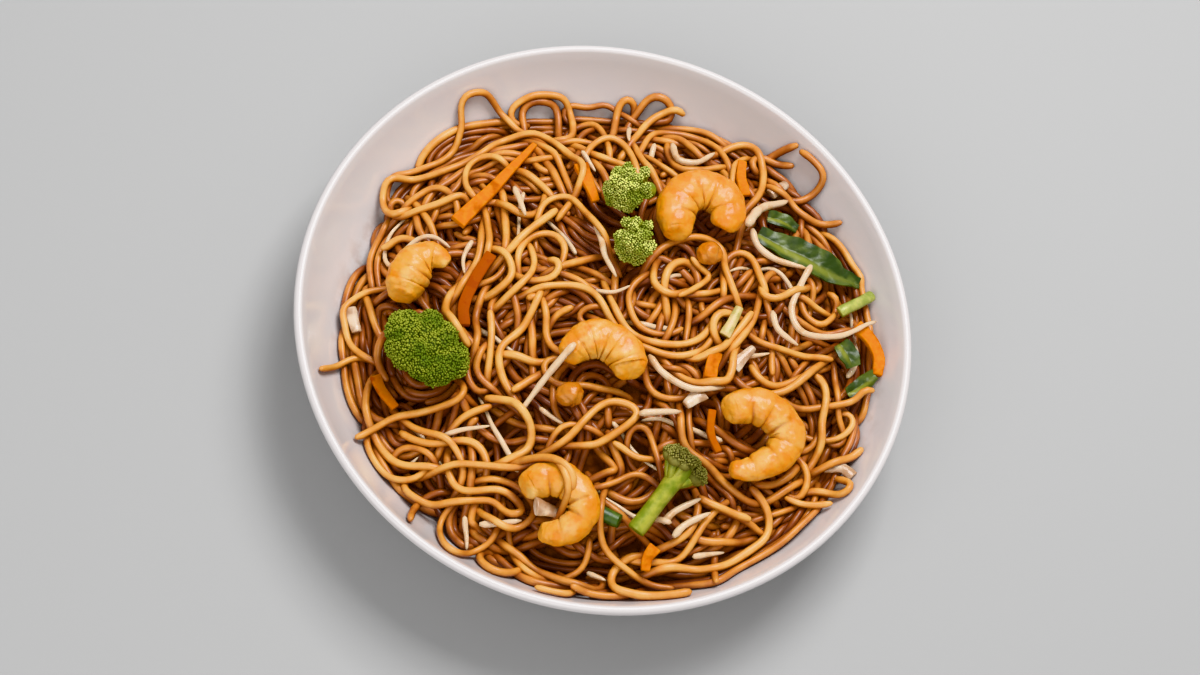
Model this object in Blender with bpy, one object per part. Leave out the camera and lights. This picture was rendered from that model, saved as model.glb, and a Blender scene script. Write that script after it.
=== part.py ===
"""Round white bowl heaped with stir-fried noodles, prawns, broccoli, carrot, greens and bean sprouts.

The origin is on the table under the bowl's centre. +Z is up, +X is to the diner's right and +Y points
away from the diner. Plan positions are pairs of millimetres seen from above, turned into metres where
they are used. Pieces are laid in order, each one resting on what is already in the bowl.
"""

import math
import random

import bmesh
import bpy
from mathutils import Vector
from mathutils.bvhtree import BVHTree

MM = 0.001
CLEARANCE = 0.35 * MM

# Bowl: a flat well that turns up into a steep wall with a rounded lip, on a low foot ring.
LIP_INNER_RADIUS = 121.0 * MM
LIP_HEIGHT = 43.5 * MM
WELL_HEIGHT = 6.0 * MM
WALL_POWER = 6.0
WALL = 3.8 * MM
FOOT_OUTER_RADIUS = 52.0 * MM
FOOT_INNER_RADIUS = 46.0 * MM
FOOT_HEIGHT = 2.6 * MM
WALL_RINGS = (0.6, 0.76, 0.87, 0.94, 1.0)
BOWL_SEGMENTS = 44

# Heap of noodles: its outline sits a little towards the diner, and its top stands above the lip.
HEAP_CENTRE = Vector((3.0 * MM, -4.0 * MM))
HEAP_RADIUS = 110.0 * MM
HEAP_TOP = 56.0 * MM
HEAP_EDGE_DEPTH = 1.5 * MM
HEAP_ROUNDNESS = 0.75
CORE_COVER = 4.0 * MM
CORE_SHARE = 0.955
CORE_SECTORS = 44
CORE_RINGS = 8
CORE_LUMP = 0.9 * MM

NOODLE_RADIUS = 1.85 * MM
NOODLE_SIDES = 5
NOODLE_STEP = 6.0 * MM
NOODLE_EMBED = 0.6 * MM
NOODLE_SINK = 0.5 * MM
SCATTERED_NOODLES = 22
NOODLE_TRIES = 6
GOLDEN_ANGLE = math.radians(137.5)
RANDOM_SEED = 11

RAY_TOP = 0.2

# Routes of the noodles that lie highest, in plan.
TOP_NOODLES = (
    ((-58, 87), (-58, 99), (-55, 106), (-49, 108), (-42, 105), (-31, 93), (-24, 86)),
    ((-84, 50), (-88, 61), (-85, 71), (-75, 77), (-60, 81), (-42, 89), (-24, 90), (-13, 79), (-8, 66)),
    ((-49, 55), (-54, 59), (-54, 72), (-49, 78), (-42, 77), (-31, 64), (-23, 56)),
    ((84, 84), (92, 80), (95, 72), (92, 64), (82, 65)),
    ((79, 67), (89, 57), (101, 50)),
    ((18, 23), (22, 30), (31, 35), (40, 36), (49, 28), (51, 20)),
    ((65, 55), (71, 66), (73, 80), (66, 90), (54, 85)),
    ((-3, 8), (0, -4), (6, -11), (17, -15), (29, -15), (40, -9), (44, -2)),
    ((53, -14), (57, -21), (66, -27), (77, -26), (86, -17)),
    ((87, -19), (90, -28), (87, -40), (81, -54)),
    ((56, -72), (61, -80), (58, -90), (46, -98), (30, -102), (14, -103)),
    ((2, -102), (0, -109), (8, -113), (19, -113), (29, -112)),
    ((-65, -79), (-65, -88), (-60, -95), (-52, -95), (-46, -89)),
    ((-113, -21), (-106, -17), (-96, -12)),
    ((-98, -48), (-88, -43), (-74, -41), (-60, -38)),
    ((-71, -61), (-55, -63), (-38, -63), (-24, -66), (-17, -74), (-18, -83)),
    ((-62, -68), (-54, -73), (-44, -73), (-37, -77), (-37, -84), (-44, -84)),
    ((-27, -19), (-26, -27), (-19, -31), (-8, -32)),
    ((-12, -50), (-5, -42), (4, -37), (10, -41), (6, -49), (-8, -56)),
    ((-3, 73), (0, 83), (7, 86), (14, 81), (17, 72)),
    ((-63, 9), (-67, 0), (-63, -10), (-52, -19)),
    ((38, -62), (46, -70), (60, -75), (74, -68)),
)

# Prawns, each curled on its side: route from one end to the other, and the half-width at the start, middle
# and end.
PRAWNS = {
    "prawn_centre": (((-19, -25), (-15, -20), (-8, -17), (-1, -19), (4, -24), (6, -31)), 7.0, 7.8, 8.4),
    "prawn_right": (
        ((44, -43), (51, -41), (58, -41), (65, -45), (69, -52), (66, -59), (60, -63), (53, -66), (45, -66)),
        7.8, 7.0, 4.6,
    ),
    "prawn_back": (((27, 31), (27, 43), (32, 51), (39, 54), (47, 51), (50, 44), (47, 37)), 7.8, 8.4, 7.6),
    "prawn_left": (((-83, 5), (-80, 14), (-76, 20), (-70, 22), (-64, 19)), 7.8, 7.8, 4.0),
    "prawn_front": (
        ((-36, -76), (-29, -73), (-22, -73), (-16, -77), (-13, -84), (-16, -90), (-22, -93), (-30, -92)),
        7.4, 6.4, 5.4,
    ),
    "prawn_under_back": (((36, 23), (41, 25), (46, 25)), 4.6, 4.8, 4.2),
    "prawn_under_centre": (((-22, -42), (-18, -39), (-13, -40)), 4.4, 4.8, 4.2),
}
PRAWN_THICKNESS = 0.78
PRAWN_SIDES = 8
PRAWN_STEP = 4.6 * MM
PRAWN_SEGMENT = 6.5 * MM
PRAWN_RIB = 0.05

# Carrot strips: route, half-width at each end, half-thickness.
CARROTS = {
    "carrot_long": (((-27, 80), (-44, 57), (-60, 39)), 1.1, 3.3, 1.3),
    "carrot_curved": (((-47, 23), (-53, 13), (-58, 1), (-58, -8)), 2.3, 2.3, 1.2),
    "carrot_by_broccoli": (((-9, 68), (-7, 59), (-4, 49)), 3.0, 1.6, 1.3),
    "carrot_back": (((61, 77), (59, 67), (60, 58)), 1.8, 2.3, 1.2),
    "carrot_mid": (((41, -19), (39, -25), (38, -30)), 2.6, 2.6, 1.6),
    "carrot_front": (((15, -97), (12, -101), (11, -106)), 2.6, 1.6, 1.3),
    "carrot_rim": (((103, 1), (109, -5), (112, -12), (111, -19)), 2.8, 2.2, 1.3),
    "carrot_left": (((-92, -25), (-89, -32), (-84, -39)), 2.2, 1.6, 1.2),
    "carrot_thin": (((39, -42), (38, -51), (41, -59)), 1.6, 1.4, 1.2),
}

# Onion pieces: route, half-width at each end, half-thickness.
ONIONS = {
    "onion_back": (((72, 62), (80, 69)), 2.6, 2.0, 1.4),
    "onion_mid": (((28, -41), (35, -35)), 1.8, 3.8, 1.1),
    "onion_arc": (((48, -24), (57, -15)), 3.2, 1.4, 1.1),
    "onion_left": (((-102, 7), (-99, -4)), 2.8, 2.0, 1.1),
    "onion_right": (((86, -60), (93, -60), (97, -64)), 1.8, 2.6, 1.1),
    "onion_front": (((-32, -84), (-22, -84)), 3.8, 2.0, 1.6),
}

# Green stalks and stubs: route, half-width at each end, half-thickness.
STALKS = {
    "stalk_light": (((96, 6), (104, 11), (112, 17)), 2.4, 2.4, 1.8),
    "stalk_stub": (((-9, -83), (-3, -86), (1, -88)), 3.2, 2.8, 2.2),
    "stalk_mid": (((45, -11), (49, -4), (52, 2)), 2.4, 1.8, 1.0),
}

# Leaves: route along the midrib, half-width at start, middle and end.
LEAVES = {
    "leaf_large": (((64, 40), (73, 35), (82, 31), (90, 27), (99, 24), (108, 23)), 3.0, 6.4, 2.2),
    "leaf_behind": (((69, 49), (75, 48), (82, 45)), 2.4, 3.4, 1.8),
    "leaf_rim": (((95, -8), (98, -13), (100, -18)), 3.0, 4.4, 3.2),
    "leaf_end": (((97, -29), (103, -25), (110, -19)), 2.0, 3.2, 2.2),
}
LEAF_THICKNESS = 0.9 * MM
LEAF_FOLD = 0.32
LEAF_WAVE = 0.7 * MM
LEAF_COLUMNS = 4

# Bean sprouts: route and half-width.
SPROUTS = {
    "sprout_leaf": (((61, 41), (63, 33), (70, 27), (82, 23)), 1.4),
    "sprout_long": (((84, 24), (78, 13), (74, 2), (79, -7), (95, -6), (112, 4)), 1.35),
    "sprout_hook": (((66, 2), (68, -6), (76, -12)), 1.3),
    "sprout_centre": (((14, -21), (20, -29), (31, -35), (44, -33)), 1.4),
    "sprout_across": (((-17, -22), (-28, -34), (-37, -45)), 1.4),
    "sprout_broccoli": (((-5, 38), (-3, 29), (-2, 21), (2, 12)), 1.3),
    "sprout_left": (((-82, 27), (-75, 33), (-69, 33), (-63, 28)), 1.1),
    "sprout_top": (((31, 83), (33, 75), (41, 74), (49, 80)), 1.4),
    "sprout_broad": (((57, 38), (65, 50), (79, 59)), 1.9),
    "sprout_mid": (((9, -46), (17, -45), (26, -44)), 1.4),
    "sprout_pair_a": (((18, -88), (23, -83), (33, -78)), 1.4),
    "sprout_pair_b": (((22, -93), (27, -88), (37, -83)), 1.4),
    "sprout_front": (((-52, -87), (-44, -87), (-36, -86)), 1.3),
    "sprout_short": (((-37, 55), (-33, 41)), 1.2),
}
STRIP_STEP = 6.5 * MM

# Broccoli: crown centre, crown radii along, across and up, the heading that the crown faces in plan,
# how far it is tipped over from upright, the stalk's length and radius, and the crown's fineness.
BROCCOLI = {
    "broccoli_left": ((-73.4, -19.4), (18.5, 15.0, 11.0), -44, 0, 3.0, 6.5, 3),
    "broccoli_back": ((9, 51), (12.0, 10.5, 8.5), 130, 30, 9.0, 4.0, 2),
    "broccoli_mid": ((9, 27), (9.0, 11.5, 8.0), -100, 40, 9.0, 3.8, 2),
    "broccoli_front": ((25, -69), (12.5, 7.5, 6.5), 52, 78, 29.0, 3.9, 2),
}
CROWN_LUMP = 0.10
STALK_SIDES = 8

COLOURS = {
    "bowl": ((0.80, 0.78, 0.78), 0.25),
    "noodle": ((0.50, 0.22, 0.06), 0.35),
    "prawn": ((0.82, 0.44, 0.16), 0.35),
    "carrot": ((0.90, 0.26, 0.02), 0.35),
    "broccoli": ((0.12, 0.25, 0.03), 0.6),
    "leaf": ((0.03, 0.12, 0.03), 0.3),
    "stalk": ((0.30, 0.45, 0.06), 0.35),
    "sprout": ((0.80, 0.68, 0.55), 0.3),
    "onion": ((0.75, 0.63, 0.50), 0.3),
}


def clear_scene():
    for obj in list(bpy.data.objects):
        bpy.data.objects.remove(obj)


def material(name):
    """The Principled material of one foodstuff or of the bowl."""
    found = bpy.data.materials.get(name)
    if found:
        return found
    colour, roughness = COLOURS[name]
    made = bpy.data.materials.new(name)
    made.use_nodes = True
    shader = made.node_tree.nodes["Principled BSDF"]
    shader.inputs["Base Color"].default_value = (*colour, 1.0)
    shader.inputs["Roughness"].default_value = roughness
    shader.inputs["Metallic"].default_value = 0.0
    return made


def add_object(name, mesh, finish):
    obj = bpy.data.objects.new(name, mesh)
    bpy.context.scene.collection.objects.link(obj)
    mesh.materials.append(material(finish))
    return obj


def finished_mesh(name, bm):
    """A triangulated mesh from bm, with faces pointing out and round surfaces shaded smooth."""
    bmesh.ops.remove_doubles(bm, verts=bm.verts, dist=0.002 * MM)
    bmesh.ops.recalc_face_normals(bm, faces=bm.faces)
    bmesh.ops.triangulate(bm, faces=bm.faces)
    mesh = bpy.data.meshes.new(name)
    bm.to_mesh(mesh)
    bm.free()
    mesh.shade_smooth()
    mesh.set_sharp_from_angle(angle=math.radians(50))
    return mesh


# Bowl


def bowl_inner(radius):
    """Height of the bowl's inner surface at a radius from its axis."""
    return WELL_HEIGHT + (LIP_HEIGHT - WELL_HEIGHT) * (radius / LIP_INNER_RADIUS) ** WALL_POWER


def bowl_outward(radius):
    """Unit vector (radial, up) out through the wall, square to the inner surface."""
    rise = (LIP_HEIGHT - WELL_HEIGHT) * WALL_POWER / LIP_INNER_RADIUS
    slope = rise * (radius / LIP_INNER_RADIUS) ** (WALL_POWER - 1)
    return Vector((slope, -1.0)).normalized()


def bowl_profile():
    """Closed half section from the axis at the underside, round the foot and lip, to the axis in the well."""
    wall_radii = [LIP_INNER_RADIUS * share for share in WALL_RINGS]
    outer = [Vector((r, bowl_inner(r))) + bowl_outward(r) * WALL for r in wall_radii]
    lip_inner = Vector((LIP_INNER_RADIUS, LIP_HEIGHT))
    lip_centre = (lip_inner + outer[-1]) / 2
    start = lip_inner - lip_centre
    lip = []
    for turn in (135, 90, 45):
        angle = math.radians(turn)
        along = Vector((-start.y, start.x))
        lip.append(lip_centre + start * math.cos(angle) - along * math.sin(angle))
    foot = [
        Vector((0.0, FOOT_HEIGHT)),
        Vector((FOOT_INNER_RADIUS - 1.5 * MM, FOOT_HEIGHT)),
        Vector((FOOT_INNER_RADIUS, 0.0)),
        Vector((FOOT_OUTER_RADIUS, 0.0)),
        Vector((FOOT_OUTER_RADIUS + 1.5 * MM, FOOT_HEIGHT)),
    ]
    inner = [Vector((r, bowl_inner(r))) for r in reversed(wall_radii)]
    well = [Vector((LIP_INNER_RADIUS * 0.4, WELL_HEIGHT)), Vector((0.0, WELL_HEIGHT))]
    return foot + outer + lip + inner + well


def make_bowl():
    bm = bmesh.new()
    points = [bm.verts.new((p.x, 0.0, p.y)) for p in bowl_profile()]
    edges = [bm.edges.new(pair) for pair in zip(points, points[1:])]
    bmesh.ops.spin(
        bm,
        geom=points + edges,
        cent=(0, 0, 0),
        axis=(0, 0, 1),
        angle=math.tau,
        steps=BOWL_SEGMENTS,
        use_merge=True,
    )
    return add_object("bowl", finished_mesh("bowl", bm), "bowl")


# Heap


def heap_edge(heading):
    """Distance from the heap's centre to its uneven outline, in one direction."""
    return HEAP_RADIUS + 1.6 * MM * math.sin(3 * heading + 0.6) + 1.2 * MM * math.sin(5 * heading + 2.0)


def heap_height(x, y):
    """Height of the surface on which the uppermost noodles lie."""
    offset = Vector((x, y)) - HEAP_CENTRE
    heading = math.atan2(offset.y, offset.x)
    reach = heap_edge(heading)
    edge = HEAP_CENTRE + Vector((math.cos(heading), math.sin(heading))) * reach
    edge_height = bowl_inner(min(edge.length, LIP_INNER_RADIUS)) + HEAP_EDGE_DEPTH
    share = min(offset.length / reach, 1.0)
    return edge_height + (HEAP_TOP - edge_height) * (1 - share**2) ** HEAP_ROUNDNESS


def core_top(x, y):
    """Height of the core's upper surface: lumpy, and one layer of noodles below the heap's surface."""
    lump = math.sin(x * 95 + 1.0) * math.sin(y * 110 + 0.4) + 0.6 * math.sin(x * 190 + y * 150)
    return heap_height(x, y) - CORE_COVER + CORE_LUMP * lump


def make_core(bowl_layers):
    """Closed mound that fills the bowl up to one layer of noodles below the heap's surface."""
    bm = bmesh.new()
    rings = {"top": [], "bottom": []}
    for ring in range(1, CORE_RINGS + 1):
        share = CORE_SHARE * math.sin(0.5 * math.pi * ring / CORE_RINGS)
        top, bottom = [], []
        for sector in range(CORE_SECTORS):
            heading = math.tau * sector / CORE_SECTORS
            reach = heap_edge(heading) * share
            x = HEAP_CENTRE.x + math.cos(heading) * reach
            y = HEAP_CENTRE.y + math.sin(heading) * reach
            floor = ground(bowl_layers, x, y) + 2 * CLEARANCE
            top.append(bm.verts.new((x, y, max(core_top(x, y), floor + 1.0 * MM))))
            bottom.append(bm.verts.new((x, y, floor)))
        rings["top"].append(top)
        rings["bottom"].append(bottom)
    for side, level in (("top", core_top(*HEAP_CENTRE)), ("bottom", WELL_HEIGHT + 2 * CLEARANCE)):
        pole = bm.verts.new((*HEAP_CENTRE, level))
        first = rings[side][0]
        for a, b in zip(first, first[1:] + first[:1]):
            bm.faces.new((pole, a, b))
        for inner, outer in zip(rings[side], rings[side][1:]):
            add_band(bm, inner, outer)
    add_band(bm, rings["top"][-1], rings["bottom"][-1])
    return add_object("noodles", finished_mesh("noodles", bm), "noodle")


def add_band(bm, first, second):
    """Quads between two closed rings with as many points each."""
    for i, a in enumerate(first):
        j = (i + 1) % len(first)
        bm.faces.new((a, first[j], second[j], second[i]))


# Routes and swept strips


def smooth_route(points, step):
    """Evenly spaced points, in metres, along a smooth curve through plan points in millimetres."""
    knots = [Vector(p) * MM for p in points]
    ends = [2 * knots[0] - knots[1], *knots, 2 * knots[-1] - knots[-2]]
    fine = []
    for p0, p1, p2, p3 in zip(ends, ends[1:], ends[2:], ends[3:]):
        for i in range(12):
            t = i / 12
            fine.append(
                0.5
                * (
                    2 * p1
                    + (p2 - p0) * t
                    + (2 * p0 - 5 * p1 + 4 * p2 - p3) * t**2
                    + (3 * p1 - p0 - 3 * p2 + p3) * t**3
                )
            )
    fine.append(knots[-1])
    return respaced(fine, step)


def respaced(fine, step):
    """Points along a polyline at equal distances close to step, both ends kept."""
    lengths = [(b - a).length for a, b in zip(fine, fine[1:])]
    count = max(2, round(sum(lengths) / step))
    spacing = sum(lengths) / count
    points, travelled, target = [fine[0]], 0.0, spacing
    for a, b, length in zip(fine, fine[1:], lengths):
        while travelled + length >= target and len(points) < count:
            points.append(a.lerp(b, (target - travelled) / length))
            target += spacing
        travelled += length
    return [*points, fine[-1]]


def side_of(route, i):
    """Unit plan vector square to the route at point i."""
    along = route[min(i + 1, len(route) - 1)] - route[max(i - 1, 0)]
    return Vector((-along.y, along.x)).normalized()


def ground(layers, x, y):
    """Height of the highest surface in the bowl under a plan position, or 0 where there is none."""
    highest = 0.0
    for tree, low, high in layers:
        if low.x <= x <= high.x and low.y <= y <= high.y:
            hit = tree.ray_cast(Vector((x, y, RAY_TOP)), Vector((0, 0, -1)))[0]
            if hit:
                highest = max(highest, hit.z)
    return highest


def layer_of(obj):
    """What ground() reads of an object: its surface and its corners."""
    mesh = obj.data
    points = [vertex.co.copy() for vertex in mesh.vertices]
    tree = BVHTree.FromPolygons(points, [tuple(p.vertices) for p in mesh.polygons])
    low = Vector([min(p[i] for p in points) for i in range(3)])
    high = Vector([max(p[i] for p in points) for i in range(3)])
    return tree, low, high


def resting_heights(route, half_width, half_height, height_at):
    """Height of a strip's centreline that lies on what is under it and spans the hollows."""
    needed = []
    last = len(route) - 1
    for i, point in enumerate(route):
        side = side_of(route, i)
        levels = []
        for near in (route[max(i - 1, 0)], point, route[min(i + 1, last)]):
            for share in (-1.0, -0.6, 0.0, 0.6, 1.0):
                spot = point.lerp(near, 0.5) + side * half_width(i) * share
                levels.append(height_at(spot.x, spot.y) + half_height(i) * math.sqrt(1 - 0.8 * share**2))
        needed.append(max(levels))
    heights = list(needed)
    for _ in range(40):
        for i in range(1, len(heights) - 1):
            heights[i] = max(needed[i], (heights[i - 1] + heights[i + 1]) / 2 - 0.05 * MM)
    return heights


def add_strip(bm, path, half_width, half_height, sides, round_ends=True):
    """Closed solid of elliptical section along path. The two functions give its half sizes at a point."""
    rings = []
    last = len(path) - 1
    for i, point in enumerate(path):
        along = (path[min(i + 1, last)] - path[max(i - 1, 0)]).normalized()
        side = along.cross(Vector((0, 0, 1))).normalized()
        up = side.cross(along)
        scale = 0.55 if round_ends and i in (0, last) else 1.0
        ring = []
        for k in range(sides):
            angle = math.tau * (k + 0.5) / sides
            across = side * math.cos(angle) * half_width(i) * scale
            ring.append(bm.verts.new(point + across + up * math.sin(angle) * half_height(i) * scale))
        rings.append(ring)
    for a, b in zip(rings, rings[1:]):
        add_band(bm, a, b)
    bm.faces.new(rings[0])
    bm.faces.new(rings[-1])


def with_end_points(path, inset):
    """The path with a point added close to each end, where a rounded end begins."""
    start = path[0].lerp(path[1], inset / (path[1] - path[0]).length)
    end = path[-1].lerp(path[-2], inset / (path[-2] - path[-1]).length)
    return [path[0], start, *path[1:-1], end, path[-1]]


def crosses(obj, layers):
    """Whether a piece's surface runs into anything that is already laid."""
    tree = layer_of(obj)[0]
    return any(tree.overlap(other) for other, low, high in layers)


def lay_on(obj, layers):
    """Moves a piece up or down until it rests just above what lies under it, and adds it to the layers."""
    spots = [v.co for v in obj.data.vertices] + [p.center for p in obj.data.polygons]
    shift = max(ground(layers, spot.x, spot.y) + CLEARANCE - spot.z for spot in spots)
    raise_by(obj, shift)
    while crosses(obj, layers):
        raise_by(obj, 0.5 * CLEARANCE)
    layers.append(layer_of(obj))


def raise_by(obj, shift):
    for vertex in obj.data.vertices:
        vertex.co.z += shift


def lay_strip(name, finish, points, half_width, half_height, layers, sides, step):
    """A strip of food laid along plan points, on top of everything under it."""
    route = smooth_route(points, step)
    count = len(route) - 1

    def width(i):
        return half_width(i / count)

    def height(i):
        return half_height(i / count)

    heights = resting_heights(route, width, height, lambda x, y: ground(layers, x, y))
    path = [Vector((p.x, p.y, z)) for p, z in zip(route, heights)]
    path = with_end_points(path, 0.3 * step)
    last = len(path) - 1
    bm = bmesh.new()
    add_strip(bm, path, lambda i: half_width(i / last), lambda i: half_height(i / last), sides)
    lay_on(add_object(name, finished_mesh(name, bm), finish), layers)


def between(start, end):
    """A function that runs from start to end millimetres as its share goes from 0 to 1."""
    return lambda share: (start + (end - start) * share) * MM


# Toppings


def lay_strips(strips, finish, layers, sides):
    """Strips that taper evenly, each given as its route, its half-width at each end and half-thickness."""
    for name, (points, start, end, half) in strips.items():
        lay_strip(name, finish, points, between(start, end), between(half, half), layers, sides, STRIP_STEP)


def lay_prawn(name, points, widths, layers):
    """A peeled prawn, curled on its side, with a rib at each segment of its tail."""
    length = sum(math.dist(a, b) for a, b in zip(points, points[1:])) * MM
    start, middle, end = (w * MM for w in widths)

    def fullness(share):
        straight = start + (end - start) * share
        return straight + (middle - (start + end) / 2) * 4 * share * (1 - share)

    def half_width(share):
        taper = 1.0 - 0.28 * abs(2 * share - 1) ** 4
        rib = 1.0 + PRAWN_RIB * math.cos(math.tau * share * length / PRAWN_SEGMENT)
        return fullness(share) * taper * rib

    def half_height(share):
        return half_width(share) * PRAWN_THICKNESS

    lay_strip(name, "prawn", points, half_width, half_height, layers, PRAWN_SIDES, PRAWN_STEP)


def lay_leaf(name, points, widths, layers):
    """A thin leaf folded along its midrib and waved at its edges, with both faces split alike."""
    route = smooth_route(points, 4.5 * MM)
    last = len(route) - 1
    start, middle, end = (w * MM for w in widths)

    def half_width(i):
        share = i / last
        if share < 0.5:
            return start + (middle - start) * math.sin(math.pi * share)
        return end + (middle - end) * math.sin(math.pi * share)

    heights = resting_heights(
        route, half_width, lambda i: LEAF_THICKNESS, lambda x, y: ground(layers, x, y)
    )
    bm = bmesh.new()
    faces = {1: [], -1: []}
    for i, point in enumerate(route):
        side = side_of(route, i)
        rows = {1: [], -1: []}
        for column in range(LEAF_COLUMNS + 1):
            share = 2 * column / LEAF_COLUMNS - 1
            spot = point + side * half_width(i) * share
            rise = abs(share) * half_width(i) * LEAF_FOLD
            rise += LEAF_WAVE * abs(share) * math.sin(i * 1.7 + share * 2)
            for face in rows:
                level = heights[i] + rise + face * LEAF_THICKNESS / 2
                rows[face].append(bm.verts.new((spot.x, spot.y, level)))
        for face in rows:
            faces[face].append(rows[face])
    for sheet in faces.values():
        for a, b in zip(sheet, sheet[1:]):
            for k in range(LEAF_COLUMNS):
                bm.faces.new((a[k], a[k + 1], b[k + 1]))
                bm.faces.new((a[k], b[k + 1], b[k]))
    outlines = []
    for sheet in faces.values():
        near = [row[0] for row in sheet]
        far = [row[-1] for row in reversed(sheet)]
        outlines.append(near[:-1] + sheet[-1][:-1] + far[:-1] + list(reversed(sheet[0]))[:-1])
    add_band(bm, *outlines)
    lay_on(add_object(name, finished_mesh(name, bm), "leaf"), layers)


def lay_broccoli(name, centre, radii, heading, tip, stalk_length, stalk_radius, fineness, layers):
    """A floret: a lumpy crown with its stalk joined on, tipped over and turned to its heading."""
    along, across, up = (r * MM for r in radii)
    bm = bmesh.new()
    bmesh.ops.create_icosphere(bm, subdivisions=fineness, radius=1.0)
    for vertex in bm.verts:
        d = vertex.co.normalized()
        lump = math.sin(7 * d.x + 1) * math.sin(6 * d.y + 2) + math.sin(8 * d.z + 5 * d.x)
        size = 1 + CROWN_LUMP * lump
        flat = 0.45 if d.z < 0 else 1.0
        vertex.co = Vector((d.x * along * size, d.y * across * size, d.z * up * size * flat))
    crown = add_object(name, finished_mesh(name, bm), "broccoli")
    bm = bmesh.new()
    depth = stalk_length * MM + up * 0.3
    bmesh.ops.create_cone(
        bm,
        cap_ends=True,
        segments=STALK_SIDES,
        radius1=stalk_radius * MM,
        radius2=stalk_radius * MM * 0.85,
        depth=depth,
    )
    bmesh.ops.translate(bm, verts=bm.verts, vec=(0, 0, -depth / 2))
    stalk = add_object(name + "_stalk", finished_mesh(name + "_stalk", bm), "broccoli")
    join(crown, [stalk], "EXACT")
    turn = Vector((0, 0, 1)).rotation_difference(
        Vector(
            (
                math.sin(math.radians(tip)) * math.cos(math.radians(heading)),
                math.sin(math.radians(tip)) * math.sin(math.radians(heading)),
                math.cos(math.radians(tip)),
            )
        )
    )
    spin = math.radians(heading) if tip == 0 else 0.0
    for vertex in crown.data.vertices:
        co = vertex.co.copy()
        x = co.x * math.cos(spin) - co.y * math.sin(spin)
        y = co.x * math.sin(spin) + co.y * math.cos(spin)
        vertex.co = turn @ Vector((x, y, co.z)) + Vector((centre[0] * MM, centre[1] * MM, HEAP_TOP))
    lay_on(crown, layers)


def join(target, others, solver):
    """Fuses the other objects into target with one Boolean union, and removes them."""
    helpers = bpy.data.collections.new(target.name + "_pieces")
    for obj in others:
        for home in list(obj.users_collection):
            home.objects.unlink(obj)
        helpers.objects.link(obj)
    bpy.context.scene.collection.children.link(helpers)
    union = target.modifiers.new("union", "BOOLEAN")
    union.operation = "UNION"
    union.solver = solver
    union.operand_type = "COLLECTION"
    union.collection = helpers
    bpy.context.view_layer.update()
    graph = bpy.context.evaluated_depsgraph_get()
    fused = bpy.data.meshes.new_from_object(target.evaluated_get(graph))
    target.modifiers.clear()
    target.data = fused
    for obj in others:
        bpy.data.objects.remove(obj)
    bpy.data.collections.remove(helpers)


# Noodles on the core


def noodle_object(path):
    bm = bmesh.new()
    add_strip(bm, path, lambda i: NOODLE_RADIUS, lambda i: NOODLE_RADIUS, NOODLE_SIDES, False)
    return add_object("noodle", finished_mesh("noodle", bm), "noodle")


def noodle_path(route, core_layers, other_layers, noodle_layers, gap):
    """Heights for one noodle: sunk into the core, pressed on noodles under it, clear of all else."""

    def level(x, y):
        return max(
            ground(core_layers, x, y) - NOODLE_RADIUS + NOODLE_EMBED,
            ground(noodle_layers, x, y) - NOODLE_SINK,
            ground(other_layers, x, y) + gap,
        )

    heights = resting_heights(
        route, lambda i: NOODLE_RADIUS * 1.25, lambda i: NOODLE_RADIUS, level
    )
    return [Vector((p.x, p.y, z)) for p, z in zip(route, heights)]


def clear_stretch(route, topping_layers, margin):
    """The longest run of the route that keeps a margin from every topping."""

    def free(point):
        for turn in range(8):
            spot = point + Vector((math.cos(turn * math.pi / 4), math.sin(turn * math.pi / 4))) * margin
            if ground(topping_layers, spot.x, spot.y) > 0:
                return False
        return ground(topping_layers, point.x, point.y) == 0

    best, run = [], []
    for point in route:
        run = [*run, point] if free(point) else []
        if len(run) > len(best):
            best = run
    return best


def scattered_route(rng, share):
    """A noodle that curls round the heap with a wandering bend; share runs from the middle to the edge."""
    heading = share * SCATTERED_NOODLES * GOLDEN_ANGLE + rng.uniform(-0.3, 0.3)
    reach = HEAP_RADIUS * 0.92 * math.sqrt(share)
    point = HEAP_CENTRE + Vector((math.cos(heading), math.sin(heading))) * reach
    course = heading + rng.choice((-1, 1)) * math.pi / 2 + rng.uniform(-0.5, 0.5)
    bend = rng.choice((-1, 1)) * rng.uniform(8, 40)
    route = [point]
    for _ in range(rng.randint(15, 20)):
        bend += rng.uniform(-14, 14)
        course += max(-60, min(60, bend)) * NOODLE_STEP
        point = point + Vector((math.cos(course), math.sin(course))) * NOODLE_STEP
        if (point - HEAP_CENTRE).length > HEAP_RADIUS * 0.97:
            break
        route.append(point)
    return route


def add_noodles(core, bowl_layers, topping_layers):
    """Fuses the noodles that show onto the core: the highest ones, then scattered ones between them."""
    rng = random.Random(RANDOM_SEED)
    core_layers = [layer_of(core)]
    noodle_layers, pieces = [], []
    routes = []
    for i in range(SCATTERED_NOODLES):
        share = (i + 0.5) / SCATTERED_NOODLES
        tries = [scattered_route(rng, share) for _ in range(NOODLE_TRIES)]
        clear = [clear_stretch(route, topping_layers, NOODLE_RADIUS + 2 * CLEARANCE) for route in tries]
        routes.append(max(clear, key=len))
    routes += [smooth_route(points, NOODLE_STEP) for points in TOP_NOODLES]
    others = bowl_layers + topping_layers
    for route in routes:
        gap = 2 * CLEARANCE
        piece = noodle_object(noodle_path(route, core_layers, others, noodle_layers, gap))
        while crosses(piece, others):
            bpy.data.objects.remove(piece)
            gap += CLEARANCE
            piece = noodle_object(noodle_path(route, core_layers, others, noodle_layers, gap))
        noodle_layers.append(layer_of(piece))
        pieces.append(piece)
    join(core, pieces, "EXACT")
    drop_scraps(core)


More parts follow.
